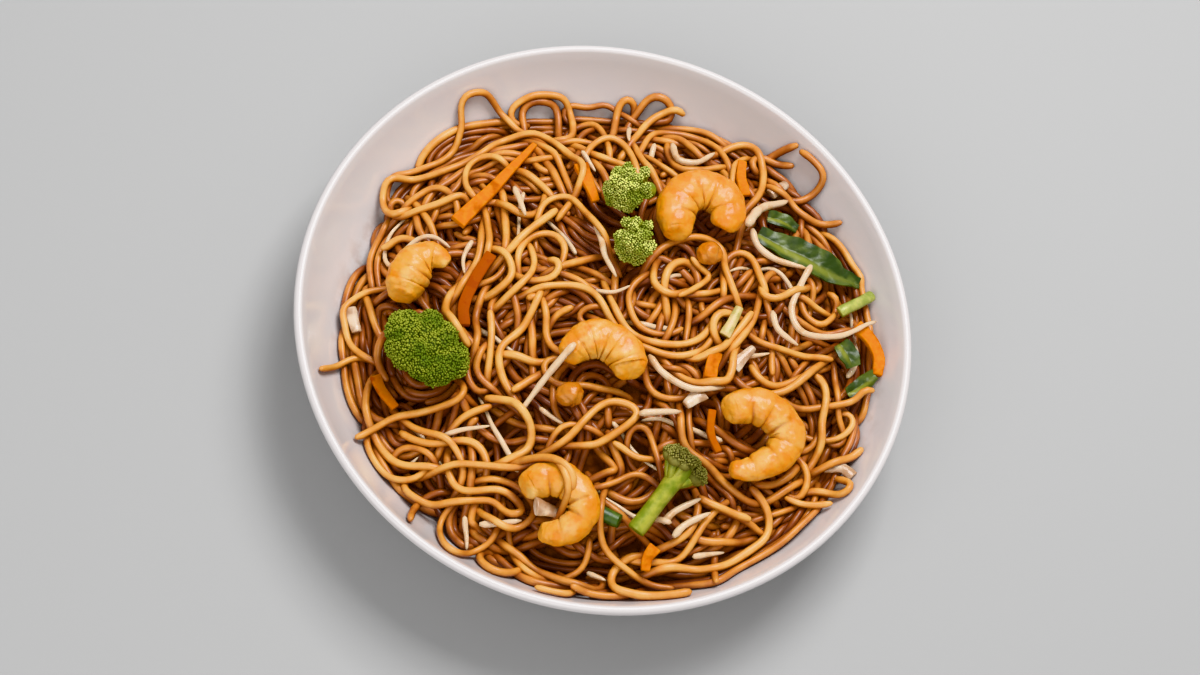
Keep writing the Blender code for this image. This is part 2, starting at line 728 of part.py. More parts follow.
def drop_scraps(obj):
    """Keeps the largest connected body of the mesh, and drops loose scraps and sealed hollows."""
    bm = bmesh.new()
    bm.from_mesh(obj.data)
    left = set(bm.verts)
    groups = []
    while left:
        group, edge = set(), [left.pop()]
        while edge:
            vertex = edge.pop()
            group.add(vertex)
            for near in (e.other_vert(vertex) for e in vertex.link_edges):
                if near in left:
                    left.remove(near)
                    edge.append(near)
        groups.append(group)
    groups.sort(key=len)
    for group in groups[:-1]:
        bmesh.ops.delete(bm, geom=list(group), context="VERTS")
    bm.to_mesh(obj.data)
    bm.free()
    obj.data.shade_smooth()


def main():
    clear_scene()
    bowl_layers = [layer_of(make_bowl())]
    core = make_core(bowl_layers)
    base = [*bowl_layers, layer_of(core)]
    layers = list(base)
    lay_strips(CARROTS, "carrot", layers, 4)
    lay_strips(STALKS, "stalk", layers, 6)
    for name, (points, *widths) in PRAWNS.items():
        lay_prawn(name, points, widths, layers)
    for name, (centre, *shape) in BROCCOLI.items():
        lay_broccoli(name, centre, *shape, layers)
    for name, (points, *widths) in LEAVES.items():
        lay_leaf(name, points, widths, layers)
    lay_strips(ONIONS, "onion", layers, 4)
    sprouts = {name: (points, half, half, half) for name, (points, half) in SPROUTS.items()}
    lay_strips(sprouts, "sprout", layers, 5)
    add_noodles(core, bowl_layers, layers[len(base) :])


main()
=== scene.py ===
"""Dresses a round white bowl heaped with stir-fried noodles, prawns, broccoli, carrot and bean sprouts.

Plan sizes are in millimetres, as seen from above, with +X to the diner's right and +Y away from the diner.
Meshes are in metres.
"""

import logging
import math
import random
from dataclasses import dataclass, field
from enum import Enum, Flag
from typing import ClassVar, Sequence

import bpy
import numpy as np
from mathutils import Matrix, Vector
from mathutils.bvhtree import BVHTree


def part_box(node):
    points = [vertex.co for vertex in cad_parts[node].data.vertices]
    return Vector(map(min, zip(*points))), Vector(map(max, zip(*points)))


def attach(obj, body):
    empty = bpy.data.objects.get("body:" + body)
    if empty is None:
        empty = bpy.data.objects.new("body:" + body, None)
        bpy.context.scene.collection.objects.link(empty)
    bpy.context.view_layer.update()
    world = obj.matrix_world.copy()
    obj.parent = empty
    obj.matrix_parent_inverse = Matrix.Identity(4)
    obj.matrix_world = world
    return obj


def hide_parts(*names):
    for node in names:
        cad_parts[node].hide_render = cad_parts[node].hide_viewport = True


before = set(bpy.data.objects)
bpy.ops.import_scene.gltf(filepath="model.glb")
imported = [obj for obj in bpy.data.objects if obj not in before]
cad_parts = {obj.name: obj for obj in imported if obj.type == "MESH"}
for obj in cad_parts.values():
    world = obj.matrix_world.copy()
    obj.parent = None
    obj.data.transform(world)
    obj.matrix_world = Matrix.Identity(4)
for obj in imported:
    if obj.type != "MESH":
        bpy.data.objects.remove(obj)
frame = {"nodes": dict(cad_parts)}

MM = 0.001
BODY = "root"
CLEARANCE = 0.3
GOLDEN_ANGLE = math.radians(137.5)
log = logging.getLogger("noodle_bowl")

norm = np.linalg.norm
Array = np.ndarray
Piece = bpy.types.Object
Material = bpy.types.Material
Socket = bpy.types.NodeSocket
Colour = tuple[float, float, float]
PlanRoute = Sequence[float]
PixelRoute = Sequence[float]


class Slot(Enum):
    """The material slots of the serving."""

    BOWL = "bowl"
    NOODLE = "noodle"
    PRAWN = "prawn"
    CARROT = "carrot"
    BROCCOLI = "broccoli"
    LEAF = "leaf"
    STALK = "stalk"
    SPROUT = "sprout"
    ONION = "onion"


# Finishes


@dataclass(frozen=True)
class Pattern:
    """A cloudy pattern: its size, its finer layers, and the values between which it fades."""

    size: float
    detail: float
    low: float = 0.0
    high: float = 1.0


class Recipe:
    """A material's node tree while it is being put together."""

    def __init__(self, name: str) -> None:
        """Starts an empty recipe with a name."""
        self.material = bpy.data.materials.new(name)
        self.material.use_nodes = True
        self.tree = self.material.node_tree
        self.shader = self.tree.nodes["Principled BSDF"]
        self.place = self.tree.nodes.new("ShaderNodeTexCoord").outputs["Object"]

    def gloss(
        self, roughness: float, coat: float = 0.0, coat_roughness: float = 0.1, ior: float = 1.45
    ) -> None:
        """Sets how the surface shines.

        Args:
            roughness: Its roughness.
            coat: Weight of a wet film.
            coat_roughness: The film's roughness.
            ior: Index of refraction.
        """
        sockets = ("Roughness", "Coat Weight", "Coat Roughness", "IOR")
        for socket, value in zip(sockets, (roughness, coat, coat_roughness, ior)):
            self.shader.inputs[socket].default_value = value

    def soften(self, weight: float, radius_mm: float, tint: Colour) -> None:
        """Lets light through the surface.

        Args:
            weight: Share of the light that goes in.
            radius_mm: How far it goes.
            tint: How far each colour goes.
        """
        self.shader.inputs["Subsurface Weight"].default_value = weight
        self.shader.inputs["Subsurface Radius"].default_value = tint
        self.shader.inputs["Subsurface Scale"].default_value = radius_mm * MM

    def node(self, kind: str) -> bpy.types.Node:
        """Adds a node of a kind."""
        return self.tree.nodes.new(kind)

    def feed(self, source: object, socket: Socket) -> None:
        """Links or sets a socket.

        Args:
            source: An output, a number or a colour.
            socket: The input.
        """
        if isinstance(source, Socket):
            self.tree.links.new(source, socket)
        elif isinstance(source, (tuple, list)):
            socket.default_value = (*source, 1.0)
        else:
            socket.default_value = source

    def attribute(self, name: str) -> Socket:
        """The value of a named attribute of the mesh."""
        node = self.node("ShaderNodeAttribute")
        node.attribute_name = name
        return node.outputs["Fac"]

    def upward(self) -> Socket:
        """How far the surface faces up, from -1 to 1."""
        split = self.node("ShaderNodeSeparateXYZ")
        self.feed(self.node("ShaderNodeNewGeometry").outputs["Normal"], split.inputs[0])
        return split.outputs["Z"]

    def noise(self, size_mm: float, detail: float = 2.0) -> Socket:
        """Cloudy values around 0.5.

        Args:
            size_mm: Size of a cloud.
            detail: How many finer layers it has.

        Returns:
            The values.
        """
        node = self.node("ShaderNodeTexNoise")
        node.inputs["Scale"].default_value = 1.0 / (size_mm * MM)
        node.inputs["Detail"].default_value = detail
        self.feed(self.place, node.inputs["Vector"])
        return node.outputs["Fac"]

    def span(self, value: object, low: float, high: float) -> Socket:
        """Maps a value to between 0 and 1, with a smooth bend at both ends.

        Args:
            value: The value.
            low: What becomes 0.
            high: What becomes 1.

        Returns:
            The mapped value.
        """
        node = self.node("ShaderNodeMapRange")
        node.interpolation_type = "SMOOTHSTEP"
        self.feed(value, node.inputs["Value"])
        node.inputs["From Min"].default_value = low
        node.inputs["From Max"].default_value = high
        return node.outputs["Result"]

    def maths(self, operation: str, a: object, b: object) -> Socket:
        """A sum on two values.

        Args:
            operation: Its kind, such as ADD.
            a: First value.
            b: Second value.

        Returns:
            The result, kept between 0 and 1.
        """
        node = self.node("ShaderNodeMath")
        node.operation = operation
        node.use_clamp = True
        self.feed(a, node.inputs[0])
        self.feed(b, node.inputs[1])
        return node.outputs[0]

    def patches(self, pattern: Pattern) -> Socket:
        """A cloudy pattern that fades between 0 and 1."""
        return self.span(self.noise(pattern.size, pattern.detail), pattern.low, pattern.high)

    def times(self, a: object, b: object) -> Socket:
        """The product of two values, kept between 0 and 1."""
        return self.maths("MULTIPLY", a, b)

    def mix(self, share: object, first: object, second: object) -> Socket:
        """A colour between two others.

        Args:
            share: How far towards the second.
            first: Colour at 0.
            second: Colour at 1.

        Returns:
            The colour.
        """
        node = self.node("ShaderNodeMix")
        node.data_type = "RGBA"
        self.feed(share, node.inputs["Factor"])
        self.feed(first, node.inputs["A"])
        self.feed(second, node.inputs["B"])
        return node.outputs["Result"]

    def ramp(self, value: object, stops: Sequence[tuple[float, Colour]]) -> Socket:
        """A colour that passes through several others.

        Args:
            value: The value that picks the colour.
            stops: Values and their colours.

        Returns:
            The colour.
        """
        node = self.node("ShaderNodeValToRGB")
        points = node.color_ramp.elements
        for _ in stops[2:]:
            points.new(0.5)
        for point, (place, colour) in zip(points, stops):
            point.position = place
            point.color = (*colour, 1.0)
        self.feed(value, node.inputs["Fac"])
        return node.outputs["Color"]

    def colour(self, source: object) -> None:
        """Sets the surface's colour."""
        self.feed(source, self.shader.inputs["Base Color"])

    def relief(self, height: object, depth_mm: float, strength: float = 1.0) -> None:
        """Adds fine relief.

        Args:
            height: The height, from 0 to 1.
            depth_mm: Its depth.
            strength: How strongly it shows.
        """
        bump = self.node("ShaderNodeBump")
        bump.inputs["Distance"].default_value = depth_mm * MM
        bump.inputs["Strength"].default_value = strength
        self.feed(height, bump.inputs["Height"])
        self.feed(bump.outputs["Normal"], self.shader.inputs["Normal"])


@dataclass(frozen=True)
class GlazeFinish:
    """Glossy white glaze, with a patchy brown ring round the heap's edge: sauce smudges, darkened as painted
    shade where the noodles meet the wall.
    """

    white: Colour = (0.70, 0.66, 0.655)
    sauce: Colour = (0.34, 0.20, 0.12)
    heap_centre: tuple[float, float] = (3.0, -4.0)
    smudge_start: float = 104.0
    smudge_end: float = 115.0

    def make(self) -> Material:
        """The finished material."""
        recipe = Recipe("glaze")
        recipe.gloss(0.22, coat=0.5, coat_roughness=0.06, ior=1.5)
        shift = recipe.node("ShaderNodeMapping")
        shift.inputs["Location"].default_value = (-self.heap_centre[0] * MM, -self.heap_centre[1] * MM, 0)
        shift.inputs["Scale"].default_value = (1, 1, 0)
        recipe.feed(recipe.place, shift.inputs["Vector"])
        reach = recipe.node("ShaderNodeVectorMath")
        reach.operation = "LENGTH"
        recipe.feed(shift.outputs["Vector"], reach.inputs[0])
        # Sauce smudges and painted shade: a patchy brown ring on the inner faces round the heap's edge.
        near = recipe.span(reach.outputs["Value"], self.smudge_end * MM, self.smudge_start * MM)
        patches = recipe.span(recipe.noise(7.0, 6.0), 0.40, 0.66)
        inside = recipe.span(recipe.upward(), 0.05, 0.3)
        stain_and_shade = recipe.times(recipe.times(near, patches), inside)
        recipe.colour(recipe.mix(recipe.times(stain_and_shade, 0.5), self.white, self.sauce))
        recipe.relief(recipe.noise(14.0, 1.0), 0.05, 0.25)
        return recipe.material


@dataclass(frozen=True)
class NoodleFinish:
    """Oily wheat noodles in their own tones, with painted light making them golden on top and painted shade
    making them brown on the sides and deep in the heap.
    """

    stops: tuple[tuple[float, Colour], ...] = (
        (0.0, (0.13, 0.026, 0.005)),
        (0.20, (0.26, 0.062, 0.011)),
        (0.45, (0.49, 0.16, 0.036)),
        (0.72, (0.74, 0.32, 0.066)),
        (1.0, (0.88, 0.53, 0.17)),
    )

    def make(self) -> Material:
        """The finished material."""
        recipe = Recipe("noodle")
        recipe.gloss(0.42, coat=0.34, coat_roughness=0.27)
        recipe.soften(0.08, 1.0, (1.0, 0.4, 0.15))
        # Painted light: lighter where the noodle faces up, darker brown on its sides and underside.
        up = recipe.span(recipe.upward(), -0.5, 1.0)
        patches = recipe.span(recipe.noise(9.0, 3.0), 0.30, 0.70)
        light = recipe.maths("ADD", recipe.times(up, 0.38), recipe.times(patches, 0.26))
        toned = recipe.maths("ADD", light, recipe.times(recipe.attribute("tone"), 0.44))
        # Painted shade: the shade mark darkens noodles that the heap hides from the sky.
        left = recipe.maths("SUBTRACT", toned, recipe.times(recipe.attribute("shade"), 0.48))
        recipe.colour(recipe.ramp(left, self.stops))
        recipe.relief(recipe.noise(1.6, 2.0), 0.12, 0.5)
        return recipe.material


@dataclass(frozen=True)
class PrawnFinish:
    """Cooked prawn: golden flesh with orange patches on the back, and brown in the creases and along the
    belly that is part sauce and part painted shade.
    """

    flesh: Colour = (0.90, 0.43, 0.065)
    pale: Colour = (0.94, 0.60, 0.20)
    orange: Colour = (0.87, 0.29, 0.004)
    # Brown of the sauce specks, and of the painted shade in the creases and along the belly.
    shade_and_sauce: Colour = (0.40, 0.10, 0.008)

    def make(self) -> Material:
        """The finished material."""
        recipe = Recipe("prawn")
        recipe.gloss(0.38, coat=0.35, coat_roughness=0.2)
        recipe.soften(0.15, 1.6, (1.0, 0.4, 0.12))
        pale = recipe.span(recipe.noise(9.0, 2.0), 0.45, 0.7)
        body = recipe.mix(pale, self.flesh, self.pale)
        patches = recipe.span(recipe.noise(6.5, 5.0), 0.47, 0.66)
        band = recipe.attribute("band")
        orange = recipe.maths("ADD", recipe.times(band, 0.45), recipe.times(patches, 0.8))
        surface = recipe.mix(orange, body, self.orange)
        specks = recipe.span(recipe.noise(3.2, 4.0), 0.56, 0.74)
        # Painted shade in the creases and along the belly, with the prawn's sauce and sauce specks added.
        dark = recipe.maths("ADD", recipe.attribute("shade_and_sauce"), recipe.times(specks, 0.35))
        recipe.colour(recipe.mix(dark, surface, self.shade_and_sauce))
        recipe.relief(recipe.noise(1.6, 3.0), 0.2, 0.5)
        return recipe.material


@dataclass(frozen=True)
class BudFinish:
    """Broccoli buds: painted light makes them yellow-green where they face up and deeper green beside;
    painted shade makes them dark between the buds.
    """

    name: str = "buds"
    # tip is the painted-light colour of upward faces; gap is the painted-shade colour between the buds.
    tip: Colour = (0.37, 0.41, 0.06)
    body: Colour = (0.15, 0.22, 0.022)
    gap: Colour = (0.050, 0.075, 0.008)

    def make(self) -> Material:
        """The finished material."""
        recipe = Recipe(self.name)
        recipe.gloss(0.6, ior=1.35)
        recipe.soften(0.1, 0.6, (0.5, 1.0, 0.2))
        # Painted light: buds that face up take the lighter tip colour.
        up = recipe.span(recipe.upward(), -0.2, 0.9)
        patches = recipe.span(recipe.noise(8.0, 3.0), 0.34, 0.62)
        bright = recipe.times(recipe.times(up, patches), recipe.attribute("tone"))
        surface = recipe.mix(recipe.times(bright, 1.6), self.body, self.tip)
        # Painted shade: the shade mark darkens buds towards the gaps between them.
        recipe.colour(recipe.mix(recipe.attribute("shade"), surface, self.gap))
        recipe.relief(recipe.noise(0.4, 2.0), 0.1, 0.6)
        return recipe.material


LIGHT_BUDS = BudFinish("light_buds", (0.86, 0.87, 0.27), (0.32, 0.38, 0.06), (0.07, 0.09, 0.012))
DULL_BUDS = BudFinish("dull_buds", (0.34, 0.31, 0.09), (0.17, 0.155, 0.04), (0.05, 0.04, 0.012))


@dataclass(frozen=True)
class PatchedFinish:
    """A food of one colour with soft patches of another, and a third colour where the mesh is marked."""

    name: str
    base: Colour
    patch: Colour
    patches: Pattern
    shine: tuple[float, float, float, float]
    grain: Pattern
    depth: float
    strength: float = 0.5
    glow: tuple[float, float, Colour] | None = None
    share: float = 1.0
    painted_light_on_top: bool = False
    marked: str = ""
    mark_colour: Colour = (0.0, 0.0, 0.0)
    stains: Pattern | None = None

    def make(self) -> Material:
        """The finished material."""
        recipe = Recipe(self.name)
        recipe.gloss(*self.shine)
        if self.glow:
            recipe.soften(*self.glow)
        share = recipe.times(recipe.patches(self.patches), self.share)
        # Painted light: the patch colour shows only on faces that turn up, so the top is lighter.
        if self.painted_light_on_top:
            share = recipe.times(recipe.span(recipe.upward(), -0.3, 0.9), share)
        surface = recipe.mix(share, self.base, self.patch)
        if self.marked:
            marks = recipe.attribute(self.marked)
            if self.stains:
                marks = recipe.maths("ADD", recipe.times(recipe.patches(self.stains), 0.7), marks)
            surface = recipe.mix(marks, surface, self.mark_colour)
        recipe.colour(surface)
        recipe.relief(recipe.noise(self.grain.size, self.grain.detail), self.depth, self.strength)
        return recipe.material


# The heap's inside: dark brown for the sauce, and painted shade that stands for the deep noodles seen through
# the gaps.
SAUCE_AND_SHADE = PatchedFinish(
    "sauce", (0.10, 0.022, 0.004), (0.24, 0.065, 0.012), Pattern(5.0, 3.0, 0.4, 0.7), (0.7, 0.0, 0.1, 1.25),
    Pattern(5.0, 3.0), 1.5, 1.0,
)
CARROT = PatchedFinish(
    "carrot", (0.72, 0.19, 0.001), (0.76, 0.25, 0.002), Pattern(2.0, 2.0, 0.4, 0.7), (0.5, 0.0, 0.1, 1.15),
    Pattern(0.9, 2.0), 0.15, marked="soaked", mark_colour=(0.35, 0.058, 0.004),
    stains=Pattern(7.0, 3.0, 0.52, 0.7),
)
LEAF = PatchedFinish(
    "leaf", (0.035, 0.065, 0.012), (0.10, 0.14, 0.025), Pattern(7.0, 3.0, 0.4, 0.65), (0.42, 0.2, 0.25, 1.45),
    Pattern(1.8, 3.0), 0.35, 0.6, marked="rib", mark_colour=(0.24, 0.26, 0.035),
)
SPROUT = PatchedFinish(
    "sprout", (0.80, 0.60, 0.40), (0.62, 0.33, 0.12), Pattern(8.0, 3.0, 0.5, 0.72), (0.25, 0.5, 0.1, 1.45),
    Pattern(1.0, 2.0), 0.1, glow=(0.35, 1.5, (1.0, 0.75, 0.5)), share=0.8,
)
ONION = PatchedFinish(
    "onion", (0.80, 0.66, 0.50), (0.46, 0.27, 0.15), Pattern(6.0, 3.0, 0.34, 0.62), (0.28, 0.5, 0.12, 1.45),
    Pattern(1.3, 2.0), 0.15, glow=(0.4, 2.0, (1.0, 0.8, 0.5)),
)


def stem_finish(name: str, bright: Colour, deep: Colour) -> PatchedFinish:
    """Green stems and stalks, glossy with oil, with painted light that makes their upper side lighter.

    Args:
        name: Its name.
        bright: Colour of the upper side, as painted light.
        deep: Colour of the rest.

    Returns:
        The finish.
    """
    patches, grain = Pattern(5.0, 3.0, 0.35, 0.7), Pattern(1.2, 2.0)
    shine, glow = (0.4, 0.2, 0.2, 1.45), (0.15, 1.2, (0.7, 1.0, 0.2))
    return PatchedFinish(name, deep, bright, patches, shine, grain, 0.15, glow=glow, painted_light_on_top=True)


# Shapes that the pieces share


@dataclass(frozen=True)
class BowlShape:
    """The bowl's section, in millimetres."""

    lip_radius: float = 121.0
    lip_height: float = 43.5
    well_height: float = 6.0
    power: float = 6.0
    wall: float = 3.8
    foot_outer: float = 52.0
    foot_inner: float = 46.0
    foot_height: float = 2.6

    def inner(self, radius: Array) -> Array:
        """Height of the inner surface at a radius."""
        share = radius / self.lip_radius
        return self.well_height + (self.lip_height - self.well_height) * share**self.power

    def slope(self, radius: Array) -> Array:
        """Rise of the inner surface per millimetre outwards."""
        rise = (self.lip_height - self.well_height) * self.power / self.lip_radius
        return rise * (radius / self.lip_radius) ** (self.power - 1)


@dataclass(frozen=True)
class HeapShape:
    """The surface on which the uppermost noodles lie, in millimetres."""

    bowl: BowlShape = BowlShape()
    centre: tuple[float, float] = (3.0, -4.0)
    radius: float = 110.0
    top: float = 56.0
    edge_depth: float = 1.5
    roundness: float = 0.75
    noodle_depth: float = 15.0

    def polar(self, x: Array, y: Array) -> tuple[Array, Array, Array]:
        """Heading, reach of the outline in that heading, and share of that reach."""
        dx = x - self.centre[0]
        dy = y - self.centre[1]
        heading = np.arctan2(dy, dx)
        reach = self.radius + 1.6 * np.sin(3 * heading + 0.6) + 1.2 * np.sin(5 * heading + 2.0)
        return heading, reach, np.hypot(dx, dy) / reach

    def height(self, x: Array, y: Array) -> Array:
        """Height of the heap's surface at plan positions."""
        heading, reach, share = self.polar(x, y)
        edge_x = self.centre[0] + np.cos(heading) * reach
        edge_y = self.centre[1] + np.sin(heading) * reach
        rim = np.minimum(np.hypot(edge_x, edge_y), self.bowl.lip_radius)
        low = self.bowl.inner(rim) + self.edge_depth
        return low + (self.top - low) * (1 - np.minimum(share, 1.0) ** 2) ** self.roundness

    def floor(self, x: Array, y: Array) -> Array:
        """Height of what the lowest noodles lie on: the inside of the heap, or the bowl."""
        bowl = self.bowl.inner(np.minimum(np.hypot(x, y), self.bowl.lip_radius))
        return np.maximum(bowl, self.height(x, y) - self.noodle_depth)


@dataclass(frozen=True)
class PhotoView:
    """The photograph's camera, in millimetres, which finds what lies under a pixel."""

    place: tuple[float, float, float] = (-144.18, -387.71, 876.88)
    right: tuple[float, float, float] = (0.98789, -0.03257, 0.15171)
    up: tuple[float, float, float] = (-0.03257, 0.91243, 0.40793)
    frame: tuple[float, float] = (1200.0, 675.0)
    lens: float = 70.0
    sensor: float = 36.0

    def on_heap(self, pixels: PixelRoute, heap: HeapShape, lift: float) -> Array:
        """Plan places of what shows at some pixels.

        Args:
            pixels: The pixels, each as its place across and down.
            heap: The heap below.
            lift: Height above its surface.

        Returns:
            One plan place for each pixel.
        """
        spots = np.array(pixels, float).reshape(-1, 2)
        width, height = self.frame
        focal = self.lens / self.sensor * width
        right, up = np.array(self.right), np.array(self.up)
        rays = np.cross(up, right) + (spots[:, :1] - width / 2) / focal * right
        rays += (height / 2 - spots[:, 1:]) / focal * up
        level = np.full(len(spots), heap.top * 0.7)
        for _ in range(30):
            plan = np.array(self.place[:2]) + rays[:, :2] * ((level - self.place[2]) / rays[:, 2])[:, None]
            reach = np.minimum(np.hypot(*plan.T), heap.bowl.lip_radius)
            wall = heap.bowl.inner(reach) + 2.0
            level = (level + np.maximum(wall, heap.height(*plan.T) + lift)) / 2
        return plan


def facing(heading: float) -> Array:
    """The plan direction at a heading."""
    return np.array([math.cos(heading), math.sin(heading)])


def smooth_route(points: PlanRoute, step: float) -> Array:
    """Evenly spaced points along a smooth curve.

    Args:
        points: Plan points that it goes through.
        step: Distance between the new points.

    Returns:
        One row for each point.
    """
    knots = np.array(points, float).reshape(-1, 2)
    knots = np.vstack([2 * knots[0] - knots[1], knots, 2 * knots[-1] - knots[-2]])
    share = np.linspace(0, 1, 14, endpoint=False)[:, None]
    fine = [
        0.5 * (2 * b + (c - a) * share + (2 * a - 5 * b + 4 * c - d) * share**2
               + (3 * b - a - 3 * c + d) * share**3)
        for a, b, c, d in zip(knots, knots[1:], knots[2:], knots[3:])
    ]
    line = np.vstack([*fine, knots[-2]])
    travelled = np.concatenate([[0], np.cumsum(norm(np.diff(line, axis=0), axis=1))])
    count = max(3, round(travelled[-1] / step) + 1)
    targets = np.linspace(0, travelled[-1], count)
    return np.column_stack([np.interp(targets, travelled, line[:, k]) for k in range(2)])


class PackedSolid:
    """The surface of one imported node, used to lay the finished piece where its solid lies."""

    def __init__(self, *nodes: str) -> None:
        """Reads the surfaces of some nodes.

        Args:
            *nodes: Their names.
        """
        corners: list[Vector] = []
        faces: list[tuple[int, ...]] = []
        for node in nodes:
            mesh = frame["nodes"][node].data
            start = len(corners)
            corners += [vertex.co.copy() for vertex in mesh.vertices]
            faces += [tuple(start + i for i in face.vertices) for face in mesh.polygons]
        self.tree = BVHTree.FromPolygons(corners, faces)

    def top(self, x: float, y: float) -> float:
        """Height of the top of the solid in millimetres, or nan beside it."""
        hit = self.tree.ray_cast(Vector((x * MM, y * MM, 0.2)), Vector((0, 0, -1)))[0]
        return hit.z / MM if hit else math.nan

    def bottom(self, x: float, y: float) -> float:
        """Height of the underside of the solid in millimetres, or nan beside it."""
        hit = self.tree.ray_cast(Vector((x * MM, y * MM, -0.05)), Vector((0, 0, 1)))[0]
        return hit.z / MM if hit else math.nan

    def centreline(self, route: Array) -> Array:
        """A route halfway between the solid's top and underside.

        Args:
            route: Plan points.

        Returns:
            The same points with their heights.
        """
        heights = np.array([(self.top(x, y) + self.bottom(x, y)) / 2 for x, y in route])
        known = ~np.isnan(heights)
        index = np.arange(len(route))
        filled = np.interp(index, index[known], heights[known])
        for _ in range(2):
            filled[1:-1] = (filled[:-2] + 2 * filled[1:-1] + filled[2:]) / 4
        return np.column_stack([route, filled])


# Modelling steps that the pieces share


def link(piece: Piece) -> None:
    """Puts an object in the scene."""
    bpy.context.scene.collection.objects.link(piece)


def added(name: str) -> Piece:
    """The object that was added last, under its name."""
    bpy.context.active_object.name = name
    return bpy.context.active_object


def deselect_all() -> None:
    """Leaves nothing selected, so that the next step acts only on its own piece."""
    bpy.ops.object.select_all(action="DESELECT")


def make_active(piece: Piece) -> None:
    """Selects one piece alone."""
    deselect_all()
    piece.select_set(True)
    bpy.context.view_layer.objects.active = piece


def apply_modifier(piece: Piece, kind: str, **settings: object) -> None:
    """Adds a modifier and applies it.

    Args:
        piece: The piece.
        kind: The modifier's type.
        **settings: Its settings by name.
    """
    make_active(piece)
    modifier = piece.modifiers.new(kind.lower(), kind)
    for name, value in settings.items():
        setattr(modifier, name, value)
    bpy.ops.object.modifier_apply(modifier=modifier.name)


def close_up(piece: Piece, merge: float = 0.0) -> None:
    """Turns a piece's faces outwards in edit mode.

    Args:
        piece: The piece.
        merge: Corners closer than this are merged first.
    """
    make_active(piece)
    bpy.ops.object.mode_set(mode="EDIT")
    bpy.ops.mesh.select_all(action="SELECT")
    if merge:
        bpy.ops.mesh.remove_doubles(threshold=merge * MM)
    bpy.ops.mesh.normals_make_consistent(inside=False)
    bpy.ops.object.mode_set(mode="OBJECT")


def settle_place(piece: Piece) -> None:
    """Puts the piece's origin at the scene's origin, unturned and unscaled."""
    make_active(piece)
    bpy.ops.object.transform_apply(location=True, rotation=True, scale=True)


def shade_smooth(piece: Piece, angle: float = 180.0) -> None:
    """Shades a piece smooth.

    Args:
        piece: The piece.
        angle: Edges sharper than this stay, in degrees.
    """
    make_active(piece)
    if angle < 180.0:
        bpy.ops.object.shade_smooth_by_angle(angle=math.radians(angle))
    else:
        bpy.ops.object.shade_smooth()


def join(piece: Piece, others: Sequence[Piece]) -> None:
    """Joins other pieces to a piece."""
    make_active(piece)
    for other in others:
        other.select_set(True)
    bpy.ops.object.join()


def roughen(piece: Piece, depth: float, size: float) -> None:
    """Makes a surface uneven, as food is.

    Args:
        piece: The piece.
        depth: How far it moves.
        size: Size of a lump.
    """
    clouds = bpy.data.textures.new("clouds", "CLOUDS")
    clouds.noise_scale = size * MM
    apply_modifier(piece, "DISPLACE", texture=clouds, texture_coords="LOCAL", strength=depth * MM)


def mesh_piece(name: str, corners: Array, faces: Array) -> Piece:
    """A piece made from arrays.

    Args:
        name: Its name.
        corners: One place in each row.
        faces: Corner numbers, one face in each row.

    Returns:
        The piece.
    """
    mesh = bpy.data.meshes.new(name)
    mesh.vertices.add(len(corners))
    mesh.vertices.foreach_set("co", (corners * MM).astype(np.float32).ravel())
    sides = faces.shape[1]
    mesh.loops.add(faces.size)
    mesh.loops.foreach_set("vertex_index", faces.astype(np.int32).ravel())
    mesh.polygons.add(len(faces))
    mesh.polygons.foreach_set("loop_start", np.arange(0, faces.size, sides, dtype=np.int32))
    mesh.update(calc_edges=True)
    mesh.validate()
    piece = bpy.data.objects.new(name, mesh)
    link(piece)
    return piece


def mark(piece: Piece, name: str, values: Array) -> None:
    """Stores a value for each corner of a piece, for its finish to read."""
    layer = piece.data.attributes.new(name, "FLOAT", "POINT")
    layer.data.foreach_set("value", np.asarray(values, np.float32))


def corners_of(piece: Piece) -> Array:
    """The corners of a piece's mesh, in millimetres, one row each."""
    flat = np.empty(len(piece.data.vertices) * 3, np.float32)
    piece.data.vertices.foreach_get("co", flat)
    return flat.reshape(-1, 3).astype(float) / MM


def move_corners(piece: Piece, corners: Array) -> None:
    """Places the corners of a piece's mesh, given in millimetres."""
    piece.data.vertices.foreach_set("co", (corners * MM).astype(np.float32).ravel())
    piece.data.update()


def hand_over(piece: Piece, finish: Material, slot: Slot, *nodes: str) -> None:
    """Dresses a piece, sets it on the serving and lets it stand for its solids.

    Args:
        piece: The piece.
        finish: Its material.
        slot: Not used.
        *nodes: The solids.
    """
    if not piece.data.materials:
        piece.data.materials.append(finish)
    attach(piece, BODY)
    if nodes:
        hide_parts(*nodes)
    log.info("%s: %d faces", piece.name, len(piece.data.polygons))


@dataclass(frozen=True)
class Station:
    """One section of a long body: its place along it, half sizes across and up, and shift sideways."""

    along: float
    across: float
    up: float
    shift: float = 0.0


